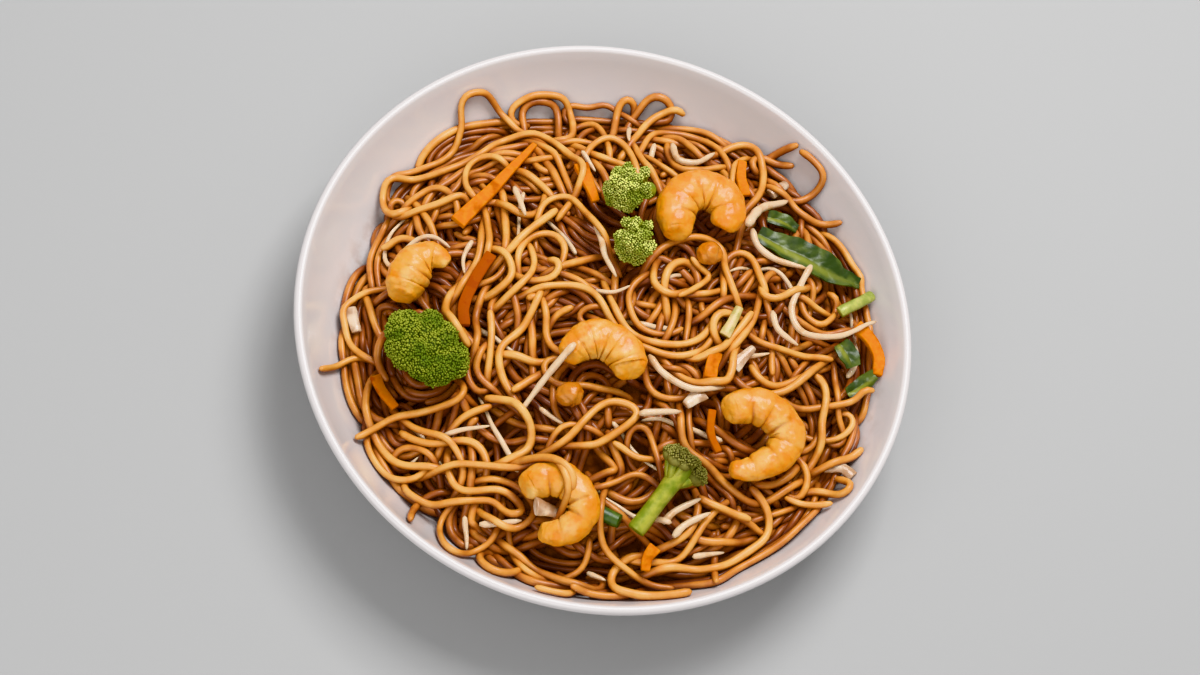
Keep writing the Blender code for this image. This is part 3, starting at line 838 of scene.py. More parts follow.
def extruded_body(name: str, stations: Sequence[Station], sides: int) -> Piece:
    """A closed body along +X, extruded from section to section.

    Args:
        name: Its name.
        stations: Its sections.
        sides: Corners of a section.

    Returns:
        The body.
    """
    deselect_all()
    first = stations[0]
    bpy.ops.mesh.primitive_circle_add(
        vertices=sides, radius=1 * MM, fill_type="NGON", rotation=(0, math.pi / 2, 0), location=(0, 0, 0)
    )
    piece = added(name)
    bpy.ops.object.transform_apply(location=True, rotation=True, scale=True)
    bpy.ops.object.mode_set(mode="EDIT")
    bpy.ops.mesh.select_all(action="SELECT")
    bpy.ops.transform.resize(value=(1, first.across, first.up), center_override=(0, 0, 0))
    bpy.ops.transform.translate(value=(first.along * MM, first.shift * MM, 0))
    for last, station in zip(stations, stations[1:]):
        step = ((station.along - last.along) * MM, (station.shift - last.shift) * MM, 0)
        bpy.ops.mesh.extrude_region_move(TRANSFORM_OT_translate={"value": step})
        bpy.ops.transform.resize(
            value=(1, station.across / last.across, station.up / last.up),
            center_override=(station.along * MM, station.shift * MM, 0),
        )
    bpy.ops.object.mode_set(mode="OBJECT")
    close_up(piece)
    return piece


def bend_along(piece: Piece, line: Array) -> None:
    """Bends a body that lies along +X onto a line, stretched to its length.

    Args:
        piece: The body.
        line: Points of the line.
    """
    data = bpy.data.curves.new("line", "CURVE")
    data.dimensions = "3D"
    data.twist_mode = "Z_UP"
    data.use_deform_bounds = True
    data.use_stretch = True
    spline = data.splines.new("POLY")
    spline.points.add(len(line) - 1)
    for point, (x, y, z) in zip(spline.points, line * MM):
        point.co = (x, y, z, 1.0)
    guide = bpy.data.objects.new("line", data)
    link(guide)
    apply_modifier(piece, "CURVE", object=guide, deform_axis="POS_X")
    bpy.data.objects.remove(guide)


# The bowl


@dataclass
class Bowl:
    """The round white bowl, turned from one smooth section."""

    shape: BowlShape = field(default_factory=BowlShape)
    finish: GlazeFinish = field(default_factory=GlazeFinish)
    segments: int = 160
    rings: int = 26

    def section(self) -> list[tuple[float, float]]:
        """Radius and height of each point of the half section, from the underside to the well."""
        shape = self.shape
        radii = shape.lip_radius * np.linspace(0.45, 1.0, self.rings) ** 0.8
        slopes = shape.slope(radii)
        size = np.hypot(slopes, 1.0)
        outer = [
            (r + shape.wall * s / n, shape.inner(r) - shape.wall / n) for r, s, n in zip(radii, slopes, size)
        ]
        outer = [(r, max(z, shape.foot_height + 0.2)) for r, z in outer if r > shape.foot_outer + 3]
        inner_lip = np.array([shape.lip_radius, shape.lip_height])
        middle = (inner_lip + np.array(outer[-1])) / 2
        arm = np.array(outer[-1]) - middle
        lip = []
        for turn in np.linspace(0, math.pi, 9)[1:-1]:
            turned = arm * math.cos(turn) + np.array([-arm[1], arm[0]]) * math.sin(turn)
            lip.append(tuple(middle + turned))
        inner = [(r, float(shape.inner(r))) for r in radii[::-1]]
        near, far, high = shape.foot_inner, shape.foot_outer, shape.foot_height
        foot = [(0.0, high), (near - 1.6, high), (near - 0.7, high - 0.6), (near - 0.2, 0.5)]
        foot += [(near + 0.5, 0.0), (far - 0.5, 0.0), (far + 0.2, 0.5), (far + 0.7, high - 0.5)]
        foot += [(far + 2.0, high + 0.1)]
        well = [(shape.lip_radius * 0.2, shape.well_height), (0.0, shape.well_height)]
        return [*foot, *outer, *lip, *inner, *well]

    def build(self) -> None:
        """Turns the section into the bowl."""
        deselect_all()
        points = self.section()
        bpy.ops.mesh.primitive_plane_add(size=MM)
        piece = added("glazed_bowl")
        bpy.ops.object.mode_set(mode="EDIT")
        bpy.ops.mesh.select_all(action="SELECT")
        bpy.ops.mesh.merge(type="CENTER")
        bpy.ops.transform.translate(value=(points[0][0] * MM, 0, points[0][1] * MM))
        for (r0, z0), (r1, z1) in zip(points, points[1:]):
            step = ((r1 - r0) * MM, 0, (z1 - z0) * MM)
            bpy.ops.mesh.extrude_vertices_move(TRANSFORM_OT_translate={"value": step})
        bpy.ops.mesh.select_all(action="SELECT")
        bpy.ops.mesh.spin(
            steps=self.segments, angle=math.tau, center=(0, 0, 0), axis=(0, 0, 1), use_auto_merge=True
        )
        bpy.ops.object.mode_set(mode="OBJECT")
        close_up(piece, 0.01)
        settle_place(piece)
        shade_smooth(piece, 50)
        hand_over(piece, self.finish.make(), Slot.BOWL, "bowl")


# Noodles


class Food(Enum):
    """What a strand is."""

    NOODLE = "noodle"
    SPROUT = "sprout"


class Showing(Flag):
    """Which ends of a noodle show; the others are tucked in."""

    NEITHER = 0
    START = 1
    FINISH = 2


@dataclass
class Strand:
    """One noodle or sprout: its plan route, height above the heap's surface, tone and firmness."""

    route: Array
    lift: Array
    tone: float
    firmness: float
    food: Food = Food.NOODLE


# The noodles that show most, followed in the photograph: height in the heap, lightness in tenths,
# which ends show, and the pixels of its 1200 by 675 frame that each passes, as places across and down.
SHOWN_NOODLES: tuple[tuple[int, ...], ...] = (
    (2, 6, 0, 386, 190, 392, 176, 410, 166, 435, 156, 455, 142, 461, 128, 460, 112, 464, 98, 478, 94,
     492, 101, 540, 134),
    (4, 8, 0, 404, 205, 393, 210, 385, 200, 384, 187, 392, 176, 435, 164, 485, 143, 497, 134, 515, 128,
     538, 127, 556, 135, 572, 148, 584, 160, 586, 172, 579, 184),
    (3, 7, 0, 390, 198, 395, 208, 405, 208, 440, 197, 466, 186, 474, 195),
    (3, 6, 0, 400, 206, 426, 184, 440, 179, 451, 184),
    (4, 8, 0, 518, 160, 500, 149, 486, 147, 474, 152, 467, 165, 468, 178, 476, 188, 487, 191),
    (2, 7, 0, 512, 108, 530, 98, 550, 96, 566, 103, 575, 118, 573, 130, 560, 133),
    (0, 2, 0, 524, 122, 522, 110, 533, 102, 548, 103, 558, 112, 561, 125),
    (2, 5, 0, 374, 276, 371, 258, 374, 241, 389, 214),
    (3, 9, 1, 384, 240, 391, 238, 396, 230, 408, 228, 418, 231),
    (3, 7, 0, 424, 203, 431, 213, 437, 226),
    (2, 8, 0, 507, 202, 509, 220, 508, 238),
    (4, 8, 2, 511, 241, 536, 217, 560, 199),
    (4, 8, 0, 541, 207, 545, 195, 555, 187, 568, 185, 580, 192, 608, 236),
    (3, 8, 0, 520, 252, 522, 240, 532, 227, 547, 221, 561, 224, 569, 236, 566, 250),
    (3, 8, 0, 535, 240, 538, 254, 532, 268, 520, 280),
    (4, 9, 1, 551, 250, 561, 252, 562, 262, 552, 271, 537, 271),
    (3, 8, 0, 561, 258, 575, 252, 590, 247),
    (3, 8, 0, 485, 220, 480, 250, 455, 290),
    (2, 7, 0, 491, 218, 492, 232, 489, 246),
    (3, 8, 0, 494, 237, 506, 243, 514, 256, 514, 270, 503, 280),
    (2, 6, 0, 480, 276, 492, 272, 503, 265, 508, 256),
    (3, 7, 0, 503, 194, 525, 206, 535, 204),
    (1, 4, 0, 541, 146, 553, 160, 563, 176),
    (2, 6, 0, 549, 142, 560, 152, 574, 178),
    (1, 6, 0, 525, 165, 538, 172, 550, 182),
    (3, 7, 0, 586, 150, 594, 138, 608, 131, 622, 133, 634, 143, 640, 156),
    (1, 4, 0, 618, 108, 617, 122, 613, 133),
    (1, 5, 0, 582, 118, 594, 117, 604, 124, 609, 133),
    (1, 2, 0, 570, 106, 590, 109, 608, 106, 642, 119),
    (2, 2, 0, 636, 112, 645, 102, 657, 97, 668, 103, 672, 112),
    (3, 8, 2, 638, 130, 648, 119, 662, 114, 676, 111, 684, 116),
    (3, 5, 0, 646, 138, 653, 128, 668, 124, 702, 131, 718, 140, 728, 152, 735, 166),
    (2, 5, 0, 674, 150, 682, 159, 697, 162, 724, 160),
    (2, 6, 0, 654, 150, 665, 157, 678, 165),
    (2, 6, 0, 638, 140, 644, 150, 655, 162, 663, 176),
    (3, 6, 0, 722, 146, 738, 143, 753, 149, 763, 161, 766, 176, 761, 190, 750, 201),
    (3, 7, 0, 740, 192, 735, 176, 737, 161, 748, 153),
    (2, 4, 2, 760, 157, 775, 165, 792, 167),
    (3, 1, 2, 768, 159, 783, 151, 796, 147),
    (3, 2, 1, 800, 153, 812, 160, 822, 172, 823, 184, 815, 194, 800, 197, 786, 190, 776, 182),
    (3, 4, 2, 782, 189, 811, 213, 840, 224),
    (5, 8, 0, 655, 248, 664, 239, 680, 231, 700, 228, 718, 232, 729, 243, 728, 258, 735, 275),
    (4, 7, 0, 728, 268, 729, 252, 737, 243, 748, 242, 758, 252, 768, 282),
    (3, 7, 0, 668, 288, 667, 272, 675, 258, 688, 253, 700, 260, 703, 272),
    (4, 9, 3, 694, 252, 705, 262, 716, 266, 694, 284, 681, 290),
    (3, 8, 0, 366, 286, 352, 297, 345, 312, 346, 330, 352, 343, 364, 351, 382, 355),
    (2, 7, 0, 369, 294, 377, 318, 382, 328),
    (3, 8, 1, 321, 370, 346, 360, 358, 352),
    (3, 7, 0, 380, 360, 372, 372, 367, 388, 366, 404, 371, 420, 380, 438, 391, 452, 405, 459, 442, 461),
    (5, 7, 1, 357, 437, 387, 415, 398, 410, 458, 396, 466, 388),
    (3, 8, 0, 366, 434, 370, 450, 380, 466, 394, 475, 410, 474, 424, 467, 430, 460),
    (5, 9, 1, 488, 388, 514, 393, 526, 403, 534, 418, 535, 433, 526, 446, 510, 453),
    (5, 7, 0, 413, 417, 425, 424, 440, 427, 452, 433, 461, 445, 466, 460, 464, 474),
    (3, 8, 1, 402, 424, 412, 431, 424, 436, 440, 437, 455, 432, 470, 431, 482, 437, 488, 448),
    (2, 4, 0, 396, 446, 405, 440, 418, 440, 430, 445, 438, 455),
    (3, 8, 0, 512, 380, 504, 365, 501, 350, 504, 337, 526, 318, 540, 290),
    (2, 7, 0, 504, 345, 520, 347, 535, 352, 548, 351),
    (2, 5, 0, 480, 298, 477, 312, 480, 325, 475, 342),
    (3, 9, 1, 492, 304, 494, 320, 492, 346),
    (4, 9, 2, 462, 276, 450, 292, 445, 308, 447, 325, 456, 337, 468, 345),
    (2, 7, 0, 460, 280, 456, 295, 456, 312, 462, 324, 471, 334),
    (2, 4, 0, 483, 343, 477, 356, 480, 368, 501, 383),
    (2, 3, 0, 471, 352, 468, 366, 471, 379, 480, 385, 491, 380),
    (3, 7, 1, 515, 383, 535, 369, 546, 361),
    (4, 8, 0, 557, 347, 548, 350, 547, 360, 555, 371, 568, 376, 585, 375, 604, 377),
    (3, 7, 0, 547, 294, 550, 308, 549, 323, 556, 337, 566, 344),
    (2, 6, 0, 534, 308, 535, 322, 536, 340),
    (3, 7, 2, 450, 426, 460, 412, 472, 405, 493, 397),
    (4, 8, 0, 545, 279, 565, 275, 586, 277, 600, 287, 616, 313, 640, 335, 658, 343, 678, 348, 695, 347,
     710, 338, 718, 326),
    (4, 9, 0, 616, 293, 622, 307, 632, 320, 645, 330, 660, 335, 680, 336, 695, 334, 708, 326, 717, 314),
    (1, 4, 0, 645, 270, 634, 279, 631, 294, 635, 309, 643, 319, 652, 324),
    (3, 8, 0, 657, 262, 656, 275, 664, 284, 676, 289, 690, 284),
    (1, 3, 0, 679, 295, 678, 310, 673, 323),
    (1, 5, 0, 690, 290, 693, 305, 692, 320),
    (2, 6, 0, 696, 286, 710, 287, 722, 283),
    (4, 7, 0, 724, 334, 716, 322, 718, 310, 726, 304, 738, 306),
    (4, 8, 1, 756, 305, 725, 343, 712, 350),
    (3, 7, 0, 764, 291, 760, 305, 752, 321, 733, 345),
    (3, 8, 0, 738, 348, 731, 376, 720, 383, 706, 382, 694, 376, 682, 366),
    (2, 6, 0, 649, 362, 653, 376, 662, 387, 677, 391, 694, 388),
    (4, 7, 2, 754, 322, 764, 333, 778, 339, 812, 347, 825, 347, 837, 351),
    (3, 8, 1, 756, 356, 761, 368, 772, 377, 787, 377, 814, 364),
    (4, 7, 0, 743, 373, 752, 381, 768, 385, 785, 384, 800, 377, 822, 358),
    (5, 6, 0, 541, 446, 556, 440, 571, 430, 596, 402, 608, 393, 622, 391, 636, 396, 643, 404, 636, 413,
     610, 430, 597, 436, 578, 436),
    (2, 6, 0, 552, 437, 559, 423, 572, 416, 588, 418),
    (2, 4, 0, 631, 432, 634, 420, 645, 417, 654, 425, 661, 452),
    (1, 4, 0, 693, 398, 692, 413, 694, 430),
    (1, 3, 0, 728, 428, 750, 444, 764, 446),
    (3, 7, 2, 553, 313, 561, 302, 576, 297),
    (2, 4, 0, 603, 320, 588, 314, 580, 306, 588, 299, 604, 298),
    (4, 8, 0, 768, 273, 766, 285, 776, 292, 788, 291, 800, 286),
    (4, 8, 1, 834, 283, 843, 290, 842, 301, 834, 313, 823, 317, 814, 309),
    (3, 8, 0, 814, 272, 818, 283, 817, 295),
    (3, 7, 0, 802, 289, 823, 301, 832, 305),
    (3, 6, 0, 802, 311, 814, 319, 830, 325, 846, 325, 860, 322),
    (4, 7, 1, 821, 365, 829, 371, 832, 385, 826, 418, 826, 437, 820, 452),
    (3, 6, 2, 786, 387, 796, 397, 812, 400, 828, 398, 845, 399, 873, 391),
    (1, 4, 0, 814, 378, 819, 390, 822, 402),
    (2, 4, 0, 842, 382, 843, 412, 849, 428),
    (3, 8, 0, 838, 433, 848, 430, 857, 420),
    (3, 7, 2, 836, 462, 850, 458, 862, 449),
    (3, 7, 0, 804, 450, 810, 462, 811, 477, 806, 491),
    (2, 6, 1, 806, 444, 818, 439, 824, 425),
    (5, 7, 0, 440, 461, 463, 457, 505, 460, 530, 458, 548, 459, 560, 467, 568, 480, 572, 497, 567, 512,
     555, 521),
    (5, 6, 0, 520, 456, 540, 456, 555, 461, 566, 472, 574, 486, 578, 500),
    (4, 8, 0, 503, 471, 518, 474, 530, 482, 538, 495, 537, 508, 528, 518, 513, 524, 500, 521),
    (4, 8, 0, 450, 460, 454, 475, 466, 485, 498, 481, 513, 485, 524, 496, 525, 508, 516, 513, 507, 506,
     500, 496, 488, 491, 436, 499, 420, 494, 406, 486),
    (2, 6, 0, 450, 503, 441, 519, 440, 537, 448, 550, 462, 555, 478, 549, 492, 538, 500, 522),
    (1, 5, 0, 452, 507, 450, 520, 455, 533, 463, 543),
    (2, 3, 2, 420, 497, 413, 509, 409, 521),
    (4, 7, 0, 514, 543, 534, 562, 548, 571, 585, 584, 602, 585),
    (4, 8, 2, 517, 551, 524, 567, 537, 575, 555, 576, 573, 571, 586, 561, 592, 545, 594, 529),
    (2, 6, 1, 533, 601, 562, 596, 576, 592),
    (2, 6, 0, 478, 560, 490, 570, 503, 574, 520, 571),
    (3, 8, 1, 617, 434, 628, 439, 637, 447, 648, 450),
    (3, 6, 2, 608, 483, 602, 500, 601, 520, 604, 538, 614, 551, 642, 572, 658, 579, 676, 582),
    (3, 7, 2, 623, 557, 614, 568, 613, 582, 622, 591, 662, 595, 690, 593),
    (4, 7, 1, 756, 480, 766, 492, 772, 507, 773, 523, 765, 537, 732, 558, 714, 564, 676, 559, 660, 561,
     646, 569),
    (4, 7, 3, 704, 489, 718, 499, 752, 515),
    (2, 5, 0, 740, 510, 755, 519, 768, 530),
    (3, 6, 0, 684, 403, 684, 422, 690, 442, 718, 463, 743, 489, 760, 496, 777, 492, 804, 475),
    (3, 7, 1, 760, 478, 775, 478, 790, 472, 801, 461),
    (4, 8, 3, 791, 491, 803, 500, 815, 505, 829, 505),
    (2, 6, 0, 764, 511, 785, 507, 802, 501),
    (2, 6, 0, 812, 488, 825, 492, 837, 497),
    (4, 8, 0, 721, 502, 709, 515, 691, 544, 680, 553, 664, 555),
    (3, 7, 0, 702, 505, 697, 520, 685, 532, 668, 539),
    (3, 8, 0, 609, 494, 620, 503, 633, 514),
    (3, 7, 0, 616, 485, 628, 491, 641, 493, 652, 488),
    (2, 4, 0, 590, 483, 608, 480, 636, 466, 650, 468, 662, 478),
    (2, 5, 2, 719, 556, 717, 572, 716, 585),
    (2, 6, 0, 701, 531, 714, 536, 729, 536),
)

# Bean sprouts among the noodles: height in the heap, and the pixels that each one passes.
LOOSE_SPROUTS: tuple[tuple[float, ...], ...] = (
    (2.5, 599, 282, 615, 285, 632, 280),
    (2, 474, 232, 465, 247, 467, 265),
    (2, 447, 428, 465, 421, 491, 418),
    (2, 408, 460, 419, 448),
    (1, 543, 401, 556, 410, 567, 417),
    (1, 468, 512, 468, 530, 467, 547),
    (2, 592, 564, 609, 573),
    (1, 697, 549, 712, 547, 727, 546),
    (3, 632, 121, 631, 135),
    (2.5, 585, 146, 598, 160),
    (1.5, 752, 349, 772, 347),
)


@dataclass
class NoodleRoutes:
    """Draws up the plan routes of the noodles, from the deepest to the highest."""

    heap: HeapShape
    toppings: PackedSolid
    step: float = 2.0
    deep: int = 78
    middle: int = 50
    upper: int = 28
    hidden_sprouts: int = 14
    nested: int = 14
    nest_centre: tuple[float, float] = (-74.0, -20.0)
    nest_radius: float = 17.0
    tucked_points: int = 7
    low_edge: float = 0.93
    high_edge: float = 0.885
    seed: int = 7
    cell: float = 2.0
    uncrossed: tuple[str, ...] = ("carrot_long", "carrot_rim", "leaf_large", "stalk_light", "broccoli_front")
    view: PhotoView = PhotoView()

    def __post_init__(self) -> None:
        """Maps where the toppings lie."""
        self.rng = random.Random(self.seed)
        self.axis = np.arange(-126.0, 126.1, self.cell)
        self.ceiling = self.underside(self.toppings)
        self.clear = self.underside(PackedSolid(*self.uncrossed))
        covered = (~np.isnan(self.ceiling)).astype(float)
        for _ in range(3):
            covered = sum(np.roll(np.roll(covered, i, 0), j, 1) for i in (-1, 0, 1) for j in (-1, 0, 1)) / 9
        self.crowding = covered
        self.push = np.stack(np.gradient(covered, self.cell), axis=-1)

    def underside(self, solids: PackedSolid) -> Array:
        """Height of the underside of some solids over the plan, in a grid."""
        return np.array([[solids.bottom(x, y) for y in self.axis] for x in self.axis])

    def lookup(self, grid: Array, x: float, y: float) -> Array:
        """The value of a plan grid at a position."""
        i = int(np.clip(round((x - self.axis[0]) / self.cell), 0, len(self.axis) - 1))
        j = int(np.clip(round((y - self.axis[0]) / self.cell), 0, len(self.axis) - 1))
        return grid[i, j]

    def wander(self, start: Array, heading: float, length: float, tightness: float, shy: float) -> Array:
        """A route that curls as it goes, turns along the heap's edge and steers round toppings.

        Args:
            start: Its start.
            heading: Its first direction.
            length: Its length.
            tightness: How sharply it curls.
            shy: How strongly it keeps off toppings.

        Returns:
            The route.
        """
        rng = self.rng
        waves = [
            (rng.uniform(60, 120), rng.uniform(0, math.tau), 1.0),
            (rng.uniform(26, 48), rng.uniform(0, math.tau), 0.8),
        ]
        lean = rng.uniform(-0.5, 0.5)
        limit = rng.uniform(0.80, 0.99)
        point = np.array(start, float)
        points = [point.copy()]
        for i in range(int(length / self.step)):
            along = i * self.step
            sway = sum(weight * math.sin(math.tau * along / span + phase) for span, phase, weight in waves)
            curl = tightness * (lean + sway)
            curl += self.steer(point, heading, shy, limit)
            heading += float(np.clip(curl, -0.16, 0.16)) * self.step
            point = point + self.step * facing(heading)
            points.append(point.copy())
        return np.array(points)

    def steer(self, point: Array, heading: float, shy: float, limit: float) -> float:
        """The extra curl that keeps a noodle inside the heap and off the toppings.

        Args:
            point: The noodle's end.
            heading: Where it points.
            shy: How strongly it keeps off toppings.
            limit: Share of the reach at which it turns back.

        Returns:
            Curl per millimetre.
        """
        ahead = point + 9.0 * facing(heading)
        share = float(self.heap.polar(ahead[0], ahead[1])[2])
        turn = 0.0
        side = np.array([-math.sin(heading), math.cos(heading)])
        near_edge = min((share - limit) / 0.07, 1.6)
        if near_edge > 0:
            inward = np.array(self.heap.centre) - ahead
            turn += 0.26 * near_edge * math.copysign(1.0, float(np.dot(side, inward)))
        if shy:
            away = -self.lookup(self.push, point[0], point[1])
            turn += shy * float(np.dot(side, away))
        return turn

    def bundle(self, count: int, depth: float, spread: float, tightness: float, shy: float) -> list[Strand]:
        """Noodles at one depth, many of them side by side.

        Args:
            count: How many.
            depth: How deep they lie.
            spread: How much that varies.
            tightness: How sharply they curl.
            shy: How strongly they keep off toppings.

        Returns:
            The noodles.
        """
        rng = self.rng
        strands: list[Strand] = []
        while len(strands) < count:
            place = (len(strands) + 0.5) / count
            turn = len(strands) * GOLDEN_ANGLE + rng.uniform(-0.5, 0.5)
            reach = self.heap.radius * 0.93 * math.sqrt(place)
            start = np.array(self.heap.centre) + reach * facing(turn)
            if shy and self.lookup(self.crowding, *start) > 0.25:
                start = start * 0.8
            heading = rng.uniform(0, math.tau)
            route = self.wander(start, heading, rng.uniform(130, 240), tightness, shy)
            siblings = rng.choice((1, 1, 2, 2, 3))
            for k in range(min(siblings, count - len(strands))):
                strands.append(self.sibling(route, k, depth + rng.uniform(-spread, spread)))
        return strands

    def sibling(self, route: Array, rank: int, depth: float) -> Strand:
        """A noodle beside another, drifting a little away from it and back.

        Args:
            route: The first noodle's route.
            rank: 0 for the first noodle itself.
            depth: How deep it lies.

        Returns:
            The noodle.
        """
        rng = self.rng
        along = np.gradient(route, axis=0)
        side = np.column_stack([-along[:, 1], along[:, 0]]) / norm(along, axis=1)[:, None]
        run = np.arange(len(route)) * self.step
        drift = 0.0
        if rank:
            sway = np.sin(math.tau * run / rng.uniform(60, 120) + rng.uniform(0, math.tau))
            drift = np.maximum(rank * 4.0 + 2.2 * sway, 3.4 * rank)
        moved = route + side * np.broadcast_to(drift, len(route))[:, None]
        first = rng.randint(0, 12) if rank else 0
        last = len(moved) - (rng.randint(0, 12) if rank else 0)
        moved = self.keep_inside(moved[first:last], self.low_edge if depth > 8 else self.high_edge)
        run = run[: len(moved)]
        weave = 2.4 * np.sin(math.tau * run / rng.uniform(42, 80) + rng.uniform(0, math.tau))
        weave += 1.2 * np.sin(math.tau * run / rng.uniform(20, 34) + rng.uniform(0, math.tau))
        return Strand(moved, weave - depth, rng.uniform(0, 0.85), 0.02)

    def keep_inside(self, route: Array, edge: float) -> Array:
        """Draws points that left the heap back to an edge at a share of its reach."""
        heading, _, share = self.heap.polar(route[:, 0], route[:, 1])
        edge = edge - 0.05 * np.exp(-((heading / 0.5) ** 2))
        capped = np.where(share > edge, edge + 0.07 * np.tanh((share - edge) / 0.07), share)
        centre = np.array(self.heap.centre)
        return centre + (route - centre) * (capped / np.maximum(share, 1e-6))[:, None]

    def shown(self) -> list[Strand]:
        """The noodles that show most, on top of the heap and over some toppings."""
        strands = []
        for level, tone, ends, *pixels in SHOWN_NOODLES:
            route = smooth_route(self.view.on_heap(pixels, self.heap, 0.8 * level + 0.5), self.step)
            lift = np.full(len(route), 0.9 * level)
            if Showing.START not in Showing(ends):
                route, lift = self.tuck(route[::-1], lift[::-1])
                route, lift = route[::-1], lift[::-1]
            if Showing.FINISH not in Showing(ends):
                route, lift = self.tuck(route, lift)
            strand = Strand(self.keep_on_wall(route), lift, tone / 10, 0.2)
            self.duck(strand, self.clear)
            strands.append(strand)
        return strands

    def tuck(self, route: Array, lift: Array) -> tuple[Array, Array]:
        """Lengthens a noodle and leads its end down among the others.

        Args:
            route: Its route.
            lift: Its height above the heap.

        Returns:
            The longer route and its heights.
        """
        heading = math.atan2(*(route[-1] - route[-2])[::-1])
        before = math.atan2(*(route[-3] - route[-4])[::-1]) if len(route) > 4 else heading
        bend = float(np.clip((heading - before + math.pi) % math.tau - math.pi, -0.3, 0.3)) / 2
        more = []
        point = route[-1]
        for _ in range(self.tucked_points):
            ahead = facing(heading)
            if float(self.heap.polar(*(point + 7.0 * ahead))[2]) > 0.95:
                inward = np.array(self.heap.centre) - point
                bend = math.copysign(0.5, float(ahead[0] * inward[1] - ahead[1] * inward[0]))
            heading += bend
            point = point + self.step * facing(heading)
            more.append(point)
        fall = np.linspace(0, 1, self.tucked_points + 3)[1:]
        down = lift[-1] - (lift[-1] + 6.0) * fall**1.2
        return np.vstack([route, more]), np.concatenate([lift[:-2], down])

    def keep_on_wall(self, route: Array) -> Array:
        """Draws points that lie beyond the bowl's wall back onto it."""
        reach = norm(route, axis=1)
        limit = self.heap.bowl.lip_radius - 3.5
        return route * np.minimum(1.0, limit / np.maximum(reach, 1e-6))[:, None]

    def sprouts(self) -> list[Strand]:
        """Bean sprouts that lie loose among the noodles."""
        rng = self.rng
        strands = []
        for lift, *pixels in LOOSE_SPROUTS:
            route = smooth_route(self.view.on_heap(pixels, self.heap, lift), self.step)
            strands.append(Strand(route, np.full(len(route), lift), 0.5, 0.1, Food.SPROUT))
        for i in range(self.hidden_sprouts):
            turn = i * GOLDEN_ANGLE + rng.uniform(-0.4, 0.4)
            reach = self.heap.radius * 0.9 * math.sqrt((i + 0.7) / self.hidden_sprouts)
            start = np.array(self.heap.centre) + reach * facing(turn)
            route = self.wander(start, rng.uniform(0, math.tau), rng.uniform(24, 44), 1 / 50, 1.0)
            route = self.keep_inside(route, self.high_edge)
            slant = np.linspace(rng.uniform(-4, 0), rng.uniform(-4, 0), len(route))
            strands.append(Strand(route, slant, 0.5, 0.05, Food.SPROUT))
        return strands

    def draw(self) -> list[Strand]:
        """All the noodles, from the deepest to the highest."""
        heap = self.heap
        strands = self.bundle(self.deep, heap.noodle_depth - 4.0, 3.0, 1 / 30, 0.0)
        strands += self.bundle(self.middle, 5.5, 2.0, 1 / 22, 0.6)
        strands += self.bundle(self.upper, 3.0, 1.5, 1 / 17, 2.0)
        strands += self.sprouts()
        strands += self.nest()
        for strand in strands:
            self.duck(strand, self.ceiling)
        return strands + self.shown()

    def nest(self) -> list[Strand]:
        """Noodles that curl round the stalk of the large floret and hold it up."""
        rng = self.rng
        strands = []
        for i in range(self.nested):
            reach = self.nest_radius * (0.55 + 0.225 * (i % 3))
            count = int(reach * rng.uniform(2.4, 4.6) / self.step)
            turn = i * GOLDEN_ANGLE + np.arange(count) * self.step / reach
            reach = reach * (1 + 0.12 * np.sin(2.3 * turn + rng.uniform(0, math.tau)))
            ring = np.column_stack([np.cos(turn), np.sin(turn)]) * reach[:, None]
            route = self.keep_inside(np.array(self.nest_centre) + ring, self.high_edge)
            strands.append(Strand(route, np.full(count, 1.4 * (i // 3)), rng.uniform(0.1, 0.8), 0.03))
        return strands

    def duck(self, strand: Strand, ceilings: Array) -> None:
        """Lowers a noodle where it passes under a topping."""
        x, y = strand.route.T
        ceiling = np.array([self.lookup(ceilings, a, b) for a, b in strand.route])
        room = ceiling - self.heap.height(x, y) - 2.4
        covered = ~np.isnan(ceiling)
        if not covered.any():
            return
        strand.lift[covered] = np.minimum(strand.lift[covered], room[covered])
        for _ in range(3):
            before = np.concatenate([strand.lift[:1], strand.lift[:-1]])
            after = np.concatenate([strand.lift[1:], strand.lift[-1:]])
            eased = (before + after + strand.lift) / 3
            strand.lift[~covered] = eased[~covered]


